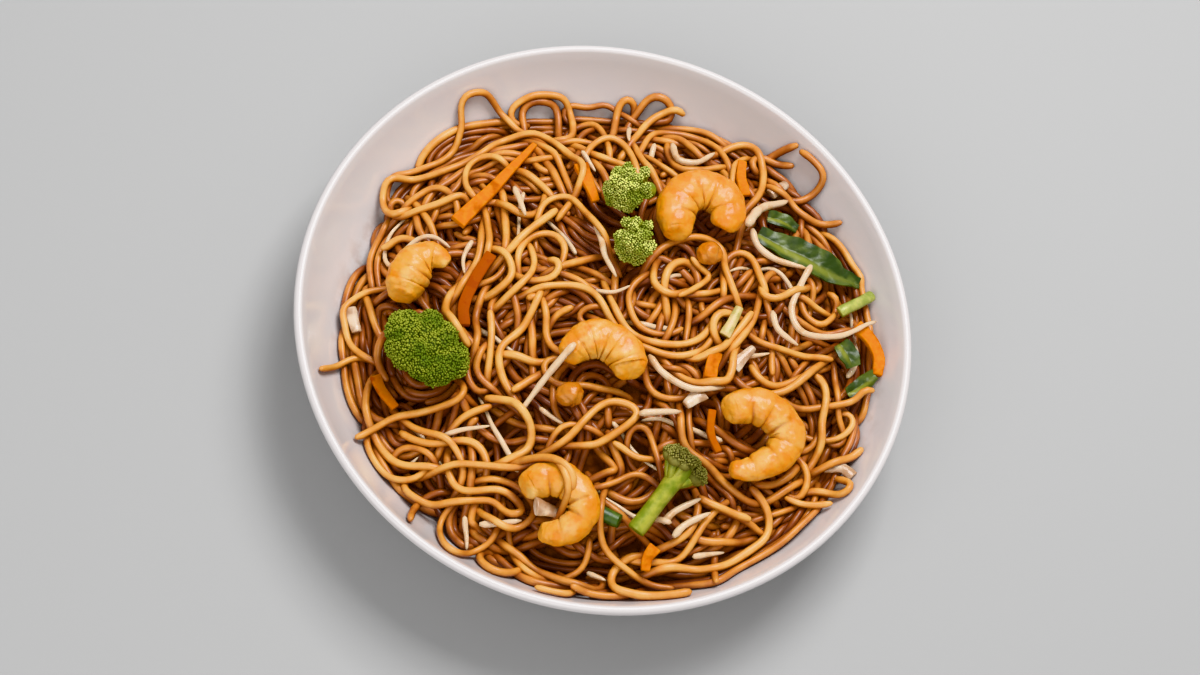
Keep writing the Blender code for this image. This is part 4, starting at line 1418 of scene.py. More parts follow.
@dataclass
class NoodleSettling:
    """Lets noodles of a fixed length sink under their weight until they rest on each other.

    Each noodle is a chain of points. Round by round, every point is lowered a little, and is then moved back
    as far as the chain's length and stiffness, the noodles that it touches, the toppings and the bowl ask.
    """

    heap: HeapShape
    toppings: PackedSolid
    radius: float = 1.6
    squeeze: float = 0.94
    rounds: int = 120
    sink: float = 0.10
    stiffness: float = 0.22

    def settle(self, strands: Sequence[Strand]) -> list[Array]:
        """Settles the noodles.

        Args:
            strands: The noodles as planned.

        Returns:
            The points of each noodle.
        """
        plan = np.vstack([s.route for s in strands])
        lift = np.concatenate([s.lift for s in strands])
        counts = [len(s.route) for s in strands]
        self.owner = np.repeat(np.arange(len(strands)), counts)
        self.rank = np.concatenate([np.arange(n) for n in counts])
        self.firm = np.concatenate([np.full(len(s.route), s.firmness) for s in strands])
        height = self.heap.height(plan[:, 0], plan[:, 1]) + lift
        points = np.column_stack([plan, height])
        points[:, 2] = np.maximum(points[:, 2], self.ground(points))
        self.plan = plan.copy()
        linked = np.flatnonzero(self.owner[1:] == self.owner[:-1])
        self.links = [linked[linked % 2 == 0], linked[linked % 2 == 1]]
        self.rest = np.full(len(points), 2.0)
        self.rest[linked] = norm(points[linked + 1] - points[linked], axis=1)
        middle = np.flatnonzero((self.owner[2:] == self.owner[:-2])) + 1
        self.bends = [middle[middle % 3 == k] for k in range(3)]
        self.curve = np.zeros_like(points)
        self.curve[middle] = points[middle] - (points[middle - 1] + points[middle + 1]) / 2
        for number in range(self.rounds):
            self.advance(points, number)
        return np.split(self.calm(points, middle), np.cumsum(counts)[:-1])

    def advance(self, points: Array, number: int) -> None:
        """One round of settling.

        Args:
            points: The noodles' points, moved in place.
            number: The round's number.
        """
        if number % 6 == 0:
            self.pairs = self.neighbours(points)
        late = number > self.rounds * 0.8
        points[:, 2] -= self.sink * (0.3 if late else 1.0)
        points[:, :2] += (self.plan - points[:, :2]) * self.firm[:, None]
        for _ in range(2):
            for links in self.links:
                self.keep_length(points, links)
        for bends in self.bends:
            self.keep_bend(points, bends)
        self.part(points)
        if number % 4 == 3 or number == self.rounds - 1:
            self.leave_toppings(points)
        points[:, 2] = np.maximum(points[:, 2], self.ground(points))

    def keep_length(self, points: Array, links: Array) -> None:
        """Moves linked points to their distance from each other."""
        gap = points[links + 1] - points[links]
        size = np.maximum(norm(gap, axis=1), 1e-6)
        shift = gap * (0.5 * (size - self.rest[links]) / size)[:, None]
        points[links] += shift
        points[links + 1] -= shift

    def keep_bend(self, points: Array, bends: Array) -> None:
        """Moves three points in a row towards the bend that the noodle has at rest."""
        middle = (points[bends - 1] + points[bends + 1]) / 2 + self.curve[bends]
        shift = (middle - points[bends]) * self.stiffness
        points[bends] += shift
        points[bends - 1] -= shift / 2
        points[bends + 1] -= shift / 2

    def neighbours(self, points: Array) -> tuple[Array, Array]:
        """Pairs of points that may touch soon.

        Args:
            points: The noodles' points.

        Returns:
            The first and the second point of each pair.
        """
        reach = 2 * self.radius + 1.0
        cells = np.floor((points + 300.0) / reach).astype(np.int64)
        keys = (cells[:, 0] * 400 + cells[:, 1]) * 400 + cells[:, 2]
        order = np.argsort(keys, kind="stable")
        ranked = keys[order]
        near = [(i, j, k) for i in (-1, 0, 1) for j in (-1, 0, 1) for k in (-1, 0, 1)]
        pairs = []
        for i, j, k in near:
            offset = (i * 400 + j) * 400 + k
            low = np.searchsorted(ranked, keys + offset, "left")
            high = np.searchsorted(ranked, keys + offset, "right")
            many = high - low
            first = np.repeat(np.arange(len(points)), many)
            start = np.repeat(low - np.concatenate([[0], np.cumsum(many)[:-1]]), many)
            second = order[start + np.arange(len(first))]
            keep = first < second
            pairs.append((first[keep], second[keep]))
        first, second = (np.concatenate(side) for side in zip(*pairs))
        apart = self.owner[first] != self.owner[second]
        apart |= np.abs(self.rank[first] - self.rank[second]) > 4
        keep = apart & (norm(points[first] - points[second], axis=1) < reach)
        return first[keep], second[keep]

    def part(self, points: Array) -> None:
        """Moves noodles that press into each other apart, more up and down than sideways."""
        first, second = self.pairs
        gap = points[second] - points[first]
        size = np.maximum(norm(gap, axis=1), 1e-3)
        press = 2 * self.radius * self.squeeze - size
        touching = press > 0
        first, second, gap, press = first[touching], second[touching], gap[touching], press[touching]
        gap[:, 2] *= 1.8
        push = gap / np.maximum(norm(gap, axis=1), 1e-3)[:, None] * (0.5 * press)[:, None]
        total = len(points)
        count = np.bincount(first, minlength=total) + np.bincount(second, minlength=total)
        ease = 1.25 / np.maximum(count, 1.25)
        for axis in range(3):
            moved = np.bincount(second, push[:, axis], total) - np.bincount(first, push[:, axis], total)
            points[:, axis] += moved * ease

    def leave_toppings(self, points: Array) -> None:
        """Moves points that lie in a topping, or too close to it, out of it."""
        reach = (self.radius + CLEARANCE) * MM
        find = self.toppings.tree.find_nearest
        for i in np.flatnonzero(self.near_topping(points)):
            spot = Vector(points[i] * MM)
            found, normal, _, distance = find(spot)
            if found is None:
                continue
            inside = (spot - found).dot(normal) < 0
            if inside or distance < reach:
                out = normal if inside or distance < 1e-6 else (spot - found).normalized()
                points[i] = np.array(found + out * reach) / MM

    def near_topping(self, points: Array) -> Array:
        """Whether each point lies in the plan square and height range of a topping."""
        if not hasattr(self, "boxes"):
            names = [n for n in frame["nodes"] if n not in ("bowl", "noodles")]
            self.boxes = [tuple(np.array(corner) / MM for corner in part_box(n)) for n in names]
        near = np.zeros(len(points), bool)
        margin = self.radius + CLEARANCE
        for low, high in self.boxes:
            near |= np.all((points > low - margin) & (points < high + margin), axis=1)
        return near

    def ground(self, points: Array) -> Array:
        """The lowest height that each point may have above the inside of the heap and the bowl."""
        x, y = points[:, 0], points[:, 1]
        radius = np.hypot(x, y)
        limit = self.heap.bowl.lip_radius - 1.0
        slope = self.heap.bowl.slope(np.minimum(radius, limit))
        wall = self.heap.bowl.inner(np.minimum(radius, limit)) + (self.radius + 0.2) * np.hypot(slope, 1.0)
        return np.maximum(wall, self.heap.floor(x, y) + self.radius * 0.8)

    def calm(self, points: Array, middle: Array) -> Array:
        """Evens out small kinks along each noodle."""
        for _ in range(3):
            smooth = points.copy()
            smooth[middle] = (points[middle - 1] + 2 * points[middle] + points[middle + 1]) / 4
            points = smooth
        return points


@dataclass
class Noodles:
    """All the noodles, as round tubes in a few meshes, on the inside of the heap, coloured dark brown for
    sauce and as painted shade.
    """

    heap: HeapShape
    toppings: PackedSolid
    finish: NoodleFinish = field(default_factory=NoodleFinish)
    radius: float = 1.6
    sides: int = 9
    seed: int = 3

    def build(self) -> None:
        """Settles the noodles and makes their meshes."""
        routes = NoodleRoutes(self.heap, self.toppings)
        strands = routes.draw()
        lines = NoodleSettling(self.heap, self.toppings, self.radius).settle(strands)
        material = self.finish.make()
        laid = [(line, strand.tone, strand.food) for line, strand in zip(lines, strands)]
        lower = routes.deep
        middle = lower + routes.middle
        layers = (("deep", laid[:lower]), ("middle", laid[lower:middle]), ("top", laid[middle:]))
        pieces = []
        for name, layer in layers:
            noodles = [(line, tone) for line, tone, food in layer if food is Food.NOODLE]
            pieces.append(self.tubes(f"noodles_{name}", noodles))
        loose = [(line, tone) for line, tone, food in laid if food is Food.SPROUT]
        pieces.append(self.tubes("sprouts_loose", loose, 0.84, 0.5))
        places = [corners_of(piece) for piece in pieces]
        # Painted shade: how much of the sky each corner cannot see becomes its shade mark, which darkens its
        # colour.
        hidden = self.shelter(np.vstack(places))
        for piece, shade in zip(pieces, np.split(hidden, np.cumsum([len(place) for place in places])[:-1])):
            mark(piece, "shade", shade)
        for piece in pieces[:-1]:
            hand_over(piece, material, Slot.NOODLE, "noodles")
        hand_over(pieces[-1], SPROUT.make(), Slot.SPROUT, "noodles")
        self.inside()

    def skyline(self, corners: Array) -> Array:
        """Height of the highest thing at each millimetre of the plan, noodles and toppings together."""
        size = 260
        grid = np.full((size, size), -10.0)
        spots = (corners[:, :2] + 130).astype(int)
        np.maximum.at(grid, (spots[:, 0], spots[:, 1]), corners[:, 2])
        grid = np.maximum.reduce([np.roll(np.roll(grid, i, 0), j, 1) for i in (0, 1) for j in (0, 1)])
        for i in range(8, size - 8, 2):
            for j in range(8, size - 8, 2):
                top = self.toppings.top(i - 129.5, j - 129.5)
                if not math.isnan(top):
                    grid[i : i + 2, j : j + 2] = np.maximum(grid[i : i + 2, j : j + 2], top)
        return grid

    def shelter(self, corners: Array) -> Array:
        """How much of the sky is hidden from each corner, from 0 to 1.

        Args:
            corners: Corners of all the noodles.

        Returns:
            One value for each corner.
        """
        grid = self.skyline(corners)
        hidden = np.zeros(len(corners))
        for turn in np.arange(10) * math.tau / 10:
            steepest = np.zeros(len(corners))
            for reach in (2.0, 3.5, 5.5, 8.0, 12.0):
                x = np.clip(corners[:, 0] + 130 + reach * math.cos(turn), 0, 259).astype(int)
                y = np.clip(corners[:, 1] + 130 + reach * math.sin(turn), 0, 259).astype(int)
                steepest = np.maximum(steepest, (grid[x, y] - corners[:, 2] - 0.4) / reach)
            hidden += steepest / np.hypot(steepest, 1.0)
        return np.clip((hidden / 10 - 0.12) / 0.62, 0, 1)

    def tubes(
        self, name: str, chosen: Sequence[tuple[Array, float]], slimmer: float = 1.0, taper: float = 0.0
    ) -> Piece:
        """One mesh of many strands.

        Args:
            name: Its name.
            chosen: Points and tone of each strand.
            slimmer: Thickness compared with a noodle's.
            taper: How much thinner the far end is.

        Returns:
            The mesh.
        """
        rng = np.random.default_rng(self.seed)
        angle = np.arange(self.sides) * math.tau / self.sides
        around = np.arange(self.sides)
        after = (around + 1) % self.sides
        corners, faces, tones = [], [], []
        start = 0
        for line, tone in chosen:
            count = len(line)
            along, side, up = self.axes(line)
            run = np.arange(count) * 2.0
            girth = self.radius * slimmer * (1 + rng.uniform(-0.2, 0.07)) * (1 - taper * run / run[-1])
            girth = girth * (1 + 0.04 * np.sin(math.tau * run / rng.uniform(20, 40) + rng.uniform(0, 6)))
            girth[[0, -1]] *= 0.72
            ring = side[:, None] * np.cos(angle)[:, None] + up[:, None] * np.sin(angle)[:, None]
            tube = line[:, None, :] + ring * girth[:, None, None]
            corners += [tube.reshape(-1, 3), line[:1] - along[:1] * 0.9, line[-1:] + along[-1:] * 0.9]
            first = np.arange(count - 1)[:, None] * self.sides
            near, beside = first + around, first + after
            band = np.stack([near, beside, beside + self.sides, near + self.sides], axis=-1).reshape(-1, 4)
            far = (count - 1) * self.sides
            head = np.column_stack([np.full(self.sides, count * self.sides), after, around])
            tail = np.column_stack([np.full(self.sides, count * self.sides + 1), far + around, far + after])
            faces.append(np.vstack([band[:, [0, 1, 2]], band[:, [0, 2, 3]], head, tail]) + start)
            start += count * self.sides + 2
            tones.append(np.full(count * self.sides + 2, tone))
        piece = mesh_piece(name, np.vstack(corners), np.vstack(faces))
        mark(piece, "tone", np.concatenate(tones))
        shade_smooth(piece)
        return piece

    @staticmethod
    def axes(line: Array) -> tuple[Array, Array, Array]:
        """Directions that turn no more than a line does.

        Args:
            line: Points of the line.

        Returns:
            Along, to the side and up, at each point.
        """
        along = np.gradient(line, axis=0)
        along /= norm(along, axis=1)[:, None]
        side = np.cross(along, [0.0, 0.0, 1.0])
        side[0] /= max(float(norm(side[0])), 1e-6)
        for i in range(1, len(line)):
            side[i] = side[i - 1] - along[i] * np.dot(side[i - 1], along[i])
            side[i] /= norm(side[i])
        return along, side, np.cross(side, along)

    def inside(self) -> None:
        """Makes the inside of the heap under the loose noodles, dark brown for sauce and as painted shade of
        the deep noodles.
        """
        deselect_all()
        bpy.ops.mesh.primitive_uv_sphere_add(segments=96, ring_count=48, radius=100 * MM)
        piece = added("heap_inside")
        corners = corners_of(piece)
        unit = corners / 100.0
        flat = np.hypot(unit[:, 0], unit[:, 1])
        heading = np.arctan2(unit[:, 1], unit[:, 0])
        spread = np.sin(np.minimum(flat, 1.0) * math.pi / 2) * 0.93
        reach = self.heap.polar(
            self.heap.centre[0] + np.cos(heading), self.heap.centre[1] + np.sin(heading)
        )[1]
        x = self.heap.centre[0] + np.cos(heading) * reach * spread
        y = self.heap.centre[1] + np.sin(heading) * reach * spread
        radius = np.minimum(np.hypot(x, y), self.heap.bowl.lip_radius)
        bottom = self.heap.bowl.inner(radius) + 0.4
        lumps = 0.8 * np.sin(x * 0.31 + 1) * np.sin(y * 0.27) + 0.5 * np.sin(x * 0.7 + y * 0.5)
        top = np.maximum(self.heap.floor(x, y) + lumps - 0.6, bottom + 0.6)
        corners = np.column_stack([x, y, np.where(unit[:, 2] > 1e-3, top, bottom)])
        move_corners(piece, corners)
        settle_place(piece)
        shade_smooth(piece)
        hand_over(piece, SAUCE_AND_SHADE.make(), Slot.NOODLE, "noodles")


# Toppings


@dataclass
class LaidPiece:
    """A piece that is modelled straight along +X, and then bent onto the middle line of its solid."""

    lumps: ClassVar[tuple[tuple[float, float], ...]] = ()
    sharpest: ClassVar[float] = 180.0
    name: str
    route: PlanRoute

    def straight(self) -> Piece:
        """Models the straight piece."""
        raise NotImplementedError

    def build(self, finish: Material, slot: Slot) -> None:
        """Models the piece, lays it on its line and dresses it.

        Args:
            finish: Its material.
            slot: Its slot, passed on.
        """
        self.line = PackedSolid(self.name).centreline(smooth_route(self.route, 1.0))
        self.length = float(np.sum(norm(np.diff(self.line, axis=0), axis=1)))
        piece = self.straight()
        bend_along(piece, self.line)
        for depth, size in self.lumps:
            roughen(piece, depth, size)
        settle_place(piece)
        shade_smooth(piece, self.sharpest)
        hand_over(piece, finish, slot, self.name)


@dataclass
class Prawn(LaidPiece):
    """A peeled prawn curled on its side, with overlapping segments that narrow towards the tail."""

    lumps: ClassVar[tuple[tuple[float, float], ...]] = ((1.3, 6.0), (0.5, 2.2))
    widths: tuple[float, float, float]
    ripeness: float = 0.0
    segments: int = 6
    sauce: float = 0.0
    thickness: float = 0.80
    sides: int = 20

    def stations(self) -> list[Station]:
        """The sections of the straight prawn, with a ridge at the end of each segment."""
        stations = []
        count = self.segments * 5 + 1
        for i in range(count):
            share = i / (count - 1)
            phase = (share * self.segments) % 1.0
            start, middle, end = self.widths
            fullness = start + (end - start) * share + (middle - (start + end) / 2) * 4 * share * (1 - share)
            taper = 1.0 - 0.28 * abs(2 * share - 1) ** 4
            ridge = 1.0 + 0.018 * (phase - 0.5) * 2 * (0.0 if i in (0, count - 1) else 1.0)
            across = fullness * taper * ridge
            stations.append(Station(share * self.length, across, across * self.thickness))
        first, last = stations[0], stations[-1]
        return [
            Station(-1.5, first.across * 0.6, first.up * 0.6),
            Station(-0.9, first.across * 0.88, first.up * 0.88),
            *stations,
            Station(last.along + 0.9, last.across * 0.85, last.up * 0.85),
            Station(last.along + 1.5, last.across * 0.5, last.up * 0.5),
        ]

    def straight(self) -> Piece:
        """Models the straight prawn, and marks its segments, its orange back, and the painted shade of its
        creases and belly for its finish.
        """
        piece = extruded_body(self.name + "_flesh", self.stations(), self.sides)
        apply_modifier(piece, "SUBSURF", levels=2, render_levels=2)
        corners = corners_of(piece)
        along = corners[:, 0] / self.length
        phase = ((along + 0.014 * np.sin(along * 21)) * self.segments) % 1.0
        back = np.clip(corners[:, 1] / max(self.widths) * self.bend_side(), -1, 1)
        corners[:, 1] *= np.where(back < 0, 1.12, 1.0)
        mark(piece, "band", np.clip(0.2 + 0.8 * back + self.ripeness, 0, 1.5))
        gap = (phase + 0.5) % 1.0 - 0.5
        inner = (along > 0.06) & (along < 0.94)
        seam = np.exp(-(gap**2) / 0.005) * inner
        belly = np.clip(0.35 - 0.8 * back, 0, 1)
        line_shade = 0.16 * np.exp(-(gap**2) / 0.0012) * inner
        # Painted shade: darker in the seams between segments on the belly side and along the belly; the
        # prawn's sauce is added to it.
        shade = 0.62 * seam * belly + line_shade + 0.6 * np.clip(-back - 0.45, 0, 1)
        mark(piece, "shade_and_sauce", np.clip(shade + self.sauce, 0, 1))
        corners[:, 1:] *= (1 - 0.10 * np.exp(-(gap**2) / 0.012) * inner * (0.12 + 0.88 * belly))[:, None]
        move_corners(piece, corners)
        return piece

    def bend_side(self) -> float:
        """1 if the prawn's back is on the left of its route, or -1 on the right."""
        plan = self.line[:, :2]
        middle = plan[len(plan) // 2] - (plan[0] + plan[-1]) / 2
        chord = plan[-1] - plan[0]
        return 1.0 if chord[0] * middle[1] - chord[1] * middle[0] > 0 else -1.0


@dataclass
class Strip(LaidPiece):
    """A cut strip of vegetable that tapers from one end to the other."""

    lumps: ClassVar[tuple[tuple[float, float], ...]] = ((0.35, 3.5),)
    sharpest: ClassVar[float] = 60.0
    start: float
    end: float
    half: float
    sides: int = 4
    soaked: float = 0.0

    def straight(self) -> Piece:
        """Models the straight strip, with its edges broken."""
        grow = 1 / math.cos(math.pi / self.sides)
        count = max(5, int(self.length / 2.2))
        stations = []
        for i in range(count + 1):
            share = i / count
            wide = self.start + (self.end - self.start) * share
            wave = 1 + 0.04 * math.sin(i * 1.9)
            stations.append(Station(share * self.length, wide * grow * wave, self.half * grow))
        piece = extruded_body(f"{self.name}_piece", stations, self.sides)
        if self.sides == 4:
            self.square_up(piece)
        apply_modifier(piece, "BEVEL", width=min(self.half, 1.2) * 0.35 * MM, segments=2,
                       limit_method="ANGLE", angle_limit=math.radians(30))
        mark(piece, "soaked", np.full(len(piece.data.vertices), self.soaked))
        return piece

    def square_up(self, piece: Piece) -> None:
        """Turns the four-cornered section so that it lies flat."""
        corners = corners_of(piece)
        y, z = corners[:, 1].copy(), corners[:, 2].copy()
        wide = np.interp(corners[:, 0], [corners[:, 0].min(), corners[:, 0].max()], [self.start, self.end])
        across = y / (wide * math.sqrt(2))
        up = z / (self.half * math.sqrt(2))
        corners[:, 1] = (across - up) * wide
        corners[:, 2] = (across + up) * self.half
        move_corners(piece, corners)


@dataclass
class BeanSprout(LaidPiece):
    """A bean sprout: a long pale stalk that thins to a root at one end."""

    lumps: ClassVar[tuple[tuple[float, float], ...]] = ((0.3, 4.0),)
    half: float
    sides: int = 10

    def straight(self) -> Piece:
        """Models the straight sprout."""
        count = max(8, int(self.length / 2.0))
        stations = []
        for i in range(count + 1):
            share = i / count
            slim = 1.05 - 0.5 * share**3 + 0.05 * math.sin(i * 1.3)
            slim *= 0.6 if i in (0, count) else 1.0
            stations.append(Station(share * self.length, self.half * slim, self.half * slim))
        return extruded_body(f"{self.name}_piece", stations, self.sides)


@dataclass
class Leaf(LaidPiece):
    """A wilted leaf, folded along its midrib and waved at its edges."""

    sharpest: ClassVar[float] = 70.0
    widths: tuple[float, float, float]
    fold: float = 0.32
    thickness: float = 0.6

    def straight(self) -> Piece:
        """Models the straight leaf from a grid."""
        length = self.length
        deselect_all()
        bpy.ops.mesh.primitive_grid_add(x_subdivisions=max(14, int(length)), y_subdivisions=16, size=2 * MM)
        piece = added(f"{self.name}_blade")
        corners = corners_of(piece)
        share = (corners[:, 0] + 1) / 2
        across = corners[:, 1].copy()
        start, middle, end = self.widths
        half = np.where(
            share < 0.5,
            start + (middle - start) * np.sin(math.pi * share),
            end + (middle - end) * np.sin(math.pi * share),
        )
        ragged = 1 + 0.04 * np.sin(share * 13) + 0.02 * np.sin(share * 37 + across)
        along, aside = share * length, np.abs(across)
        wave = aside * (0.7 * np.sin(along * 0.38 + across * 2) + 0.35 * np.sin(along * 0.9))
        veins = 0.16 * np.sin((along - aside * half * 1.1) * 1.6) * (1 - aside)
        height = aside * half * self.fold + wave + veins - 0.6 * self.fold * half.mean()
        corners = np.column_stack([along, across * half * ragged, height])
        move_corners(piece, corners)
        fading = np.clip(1.7 - 1.6 * share, 0, 1)
        mark(piece, "rib", np.clip(1.4 - np.abs(across + 0.35) / 0.3, 0, 1) * fading)
        apply_modifier(piece, "SOLIDIFY", thickness=self.thickness * MM, offset=0.0)
        return piece


@dataclass
class Broccoli:
    """A floret: branching stalk, rounded heads and many small buds on each head."""

    name: str
    centre: tuple[float, float]
    radii: tuple[float, float, float]
    heading: float
    tip: float
    stalk_length: float
    stalk_radius: float
    heads: int
    head_share: float
    finish: BudFinish
    open_side: float | None = None
    bud: float = 0.48
    seed: int = 5

    def frame(self) -> Matrix:
        """The turn from the upright floret to how it lies."""
        heading, tip = math.radians(self.heading), math.radians(self.tip)
        lean = math.sin(tip)
        upright, tipped = (0, 0, 1), (lean * math.cos(heading), lean * math.sin(heading), math.cos(tip))
        turn = Vector(upright).rotation_difference(Vector(tipped)).to_matrix()
        if self.tip == 0:
            turn = turn @ Matrix.Rotation(heading, 3, "Z")
        return turn

    def head_places(self) -> list[tuple[Array, float]]:
        """Centre and radius of each rounded head of the crown."""
        rng = random.Random(self.seed + len(self.name))
        size = np.array(self.radii)
        head = self.head_share * float(size[:2].mean())
        places = []
        for i in range(self.heads):
            level = 1.0 - 1.05 * (i + 0.4) / self.heads
            turn = i * GOLDEN_ANGLE + rng.uniform(-0.2, 0.2)
            flat = math.sqrt(max(0.0, 1 - level**2))
            unit = np.array([flat * math.cos(turn), flat * math.sin(turn), level])
            radius = head * rng.uniform(0.72, 1.18)
            if self.open_side is not None and level < 0.75:
                radius *= 0.58 if math.cos(turn - math.radians(self.open_side)) > 0.3 else 1.0
            places.append((unit * np.maximum(size - radius, 1.0) * rng.uniform(0.90, 1.03), radius))
        return places

    def build(self, stem: Material) -> None:
        """Models the floret upright, tips it over and lowers it onto its place.

        Args:
            stem: Material of the stalk.
        """
        buds = self.finish.make()
        places = self.head_places()
        crown = self.crown(places)
        stalk = self.stalk(places)
        crown.data.materials.append(buds)
        stalk.data.materials.append(stem)
        join(crown, [stalk])
        crown.name = f"{self.name}_floret"
        corners = corners_of(crown) @ np.array(self.frame()).T
        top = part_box(self.name)[1][2] / MM
        corners[:, :2] += np.array(self.centre)
        corners[:, 2] += top - corners[:, 2].max()
        move_corners(crown, corners)
        settle_place(crown)
        hand_over(crown, buds, Slot.BROCCOLI, self.name)

    def crown(self, places: Sequence[tuple[Array, float]]) -> Piece:
        """The heads covered with buds.

        Args:
            places: Centre and radius of each head.

        Returns:
            The crown.
        """
        rng = np.random.default_rng(self.seed)
        ball, ball_faces = self.small_ball(5, 3)
        round_ball, round_faces = self.small_ball(14, 8)
        corners, faces, tones, shades = [], [], [], []
        start = 0
        for centre, radius in places:
            clump = rng.uniform(-0.45, 0.25)
            corners.append(centre + round_ball * radius * 0.93)
            faces.append(round_faces + start)
            start += len(round_ball)
            # Painted shade: the head under the buds is marked dark; its bare underside stays pale.
            budded = round_ball[:, 2] > -0.3
            tones.append(np.where(budded, 0.0, 1.0))
            shades.append(np.where(budded, 0.85, 0.0))
            count = int(4 * math.pi * radius**2 / (2.1 * self.bud) ** 2 * 1.3)
            rank = np.arange(count) + 0.5
            level = 1 - 2 * rank / count
            turn = rank * GOLDEN_ANGLE
            flat = np.sqrt(1 - level**2)
            unit = np.column_stack([flat * np.cos(turn), flat * np.sin(turn), level])
            unit += rng.normal(0, 0.035, unit.shape)
            spots = centre + unit * (radius + rng.uniform(-0.35, 0.35, (count, 1)))
            for other, size in places:
                if other is centre:
                    continue
                far = norm(spots - other, axis=1) > size * 0.97
                spots, unit = spots[far], unit[far]
            seen = unit[:, 2] > -0.25
            for spot in spots[seen]:
                size = self.bud * rng.uniform(0.75, 1.25)
                corners.append(spot + ball * size)
                faces.append(ball_faces + start)
                start += len(ball)
                tones.append(np.full(len(ball), rng.uniform(0.45, 1.0) + clump))
                # Painted shade: each bud is darker where it sinks into its head.
                inner = norm(ball * size + spot - centre, axis=1)
                shades.append(np.clip((radius + 0.25 * size - inner) / (1.1 * size), 0, 0.9))
        crown = mesh_piece(f"{self.name}_crown", np.vstack(corners), np.vstack(faces))
        mark(crown, "tone", np.concatenate(tones))
        mark(crown, "shade", np.concatenate(shades))
        shade_smooth(crown)
        return crown

    @staticmethod
    def small_ball(segments: int, rings: int) -> tuple[Array, Array]:
        """A ball of radius 1.

        Args:
            segments: Corners round it.
            rings: Bands from pole to pole.

        Returns:
            Its corners and its triangles.
        """
        ring, step = (part.ravel() for part in np.mgrid[1:rings, 0:segments])
        tilt, turn = math.pi * ring / rings, math.tau * (step + 0.5 * (ring % 2)) / segments
        round_it = np.column_stack([np.sin(tilt) * np.cos(turn), np.sin(tilt) * np.sin(turn), np.cos(tilt)])
        corners = np.vstack([[0.0, 0.0, 1.0], round_it, [0.0, 0.0, -1.0]])
        faces = []
        last = len(corners) - 1
        for j in range(segments):
            k = (j + 1) % segments
            faces.append((0, 1 + j, 1 + k))
            base = 1 + (rings - 2) * segments
            faces.append((last, base + k, base + j))
            for i in range(rings - 2):
                a, b = 1 + i * segments, 1 + (i + 1) * segments
                faces += [(a + j, b + j, b + k), (a + j, b + k, a + k)]
        return corners, np.array(faces)

    def stalk(self, places: Sequence[tuple[Array, float]]) -> Piece:
        """The stalk with a branch to each head.

        Args:
            places: Centre and radius of each head.

        Returns:
            The stalk.
        """
        fork = -0.25 * self.radii[2]
        depth = self.stalk_length + 0.3 * self.radii[2]
        end = 1 + 0.2 * self.radii[2] / depth
        thick = self.stalk_radius
        shape = ((0, 0.98, 0.9), (0.1, 1.04, 0.95), (0.35, 0.9, 0.85), (0.6, 0.92, 0.9), (0.85, 1.08, 1.05))
        stations = [Station(depth * share, thick * a, thick * b) for share, a, b in (*shape, (end, 1.2, 1.2))]
        trunk = extruded_body(f"{self.name}_trunk", stations, 14)
        apply_modifier(trunk, "BEVEL", width=0.5 * MM, segments=2, limit_method="ANGLE")
        apply_modifier(trunk, "SUBSURF", levels=1, render_levels=1)
        corners = corners_of(trunk)
        move_corners(trunk, np.column_stack([corners[:, 1], corners[:, 2], corners[:, 0] - depth]))
        branches = []
        for i, (centre, radius) in enumerate(places):
            foot = np.array([centre[0] * 0.22, centre[1] * 0.22, fork - 0.2 * depth])
            line = np.linspace(foot, centre, 6)
            bow = np.sin(np.linspace(0, math.pi, 6)) * 0.12 * norm(centre[:2])
            line[:, :2] += bow[:, None] * centre[:2] / max(norm(centre[:2]), 1e-6)
            thick = min(self.stalk_radius * 0.5, max(radius * 0.42, 1.15))
            length = float(norm(centre - foot))
            sizes = [(k / 5, thick * (0.9 + 0.25 * k / 5)) for k in range(6)]
            stations = [Station(length * share, size, size) for share, size in sizes]
            branch = extruded_body(f"{self.name}_branch_{i}", stations, 8)
            bend_along(branch, line)
            branches.append(branch)
        join(trunk, branches)
        close_up(trunk)
        roughen(trunk, 0.5, 5.0)
        mark(trunk, "tone", np.full(len(trunk.data.vertices), 0.5))
        mark(trunk, "shade", np.zeros(len(trunk.data.vertices)))
        shade_smooth(trunk, 60)
        return trunk


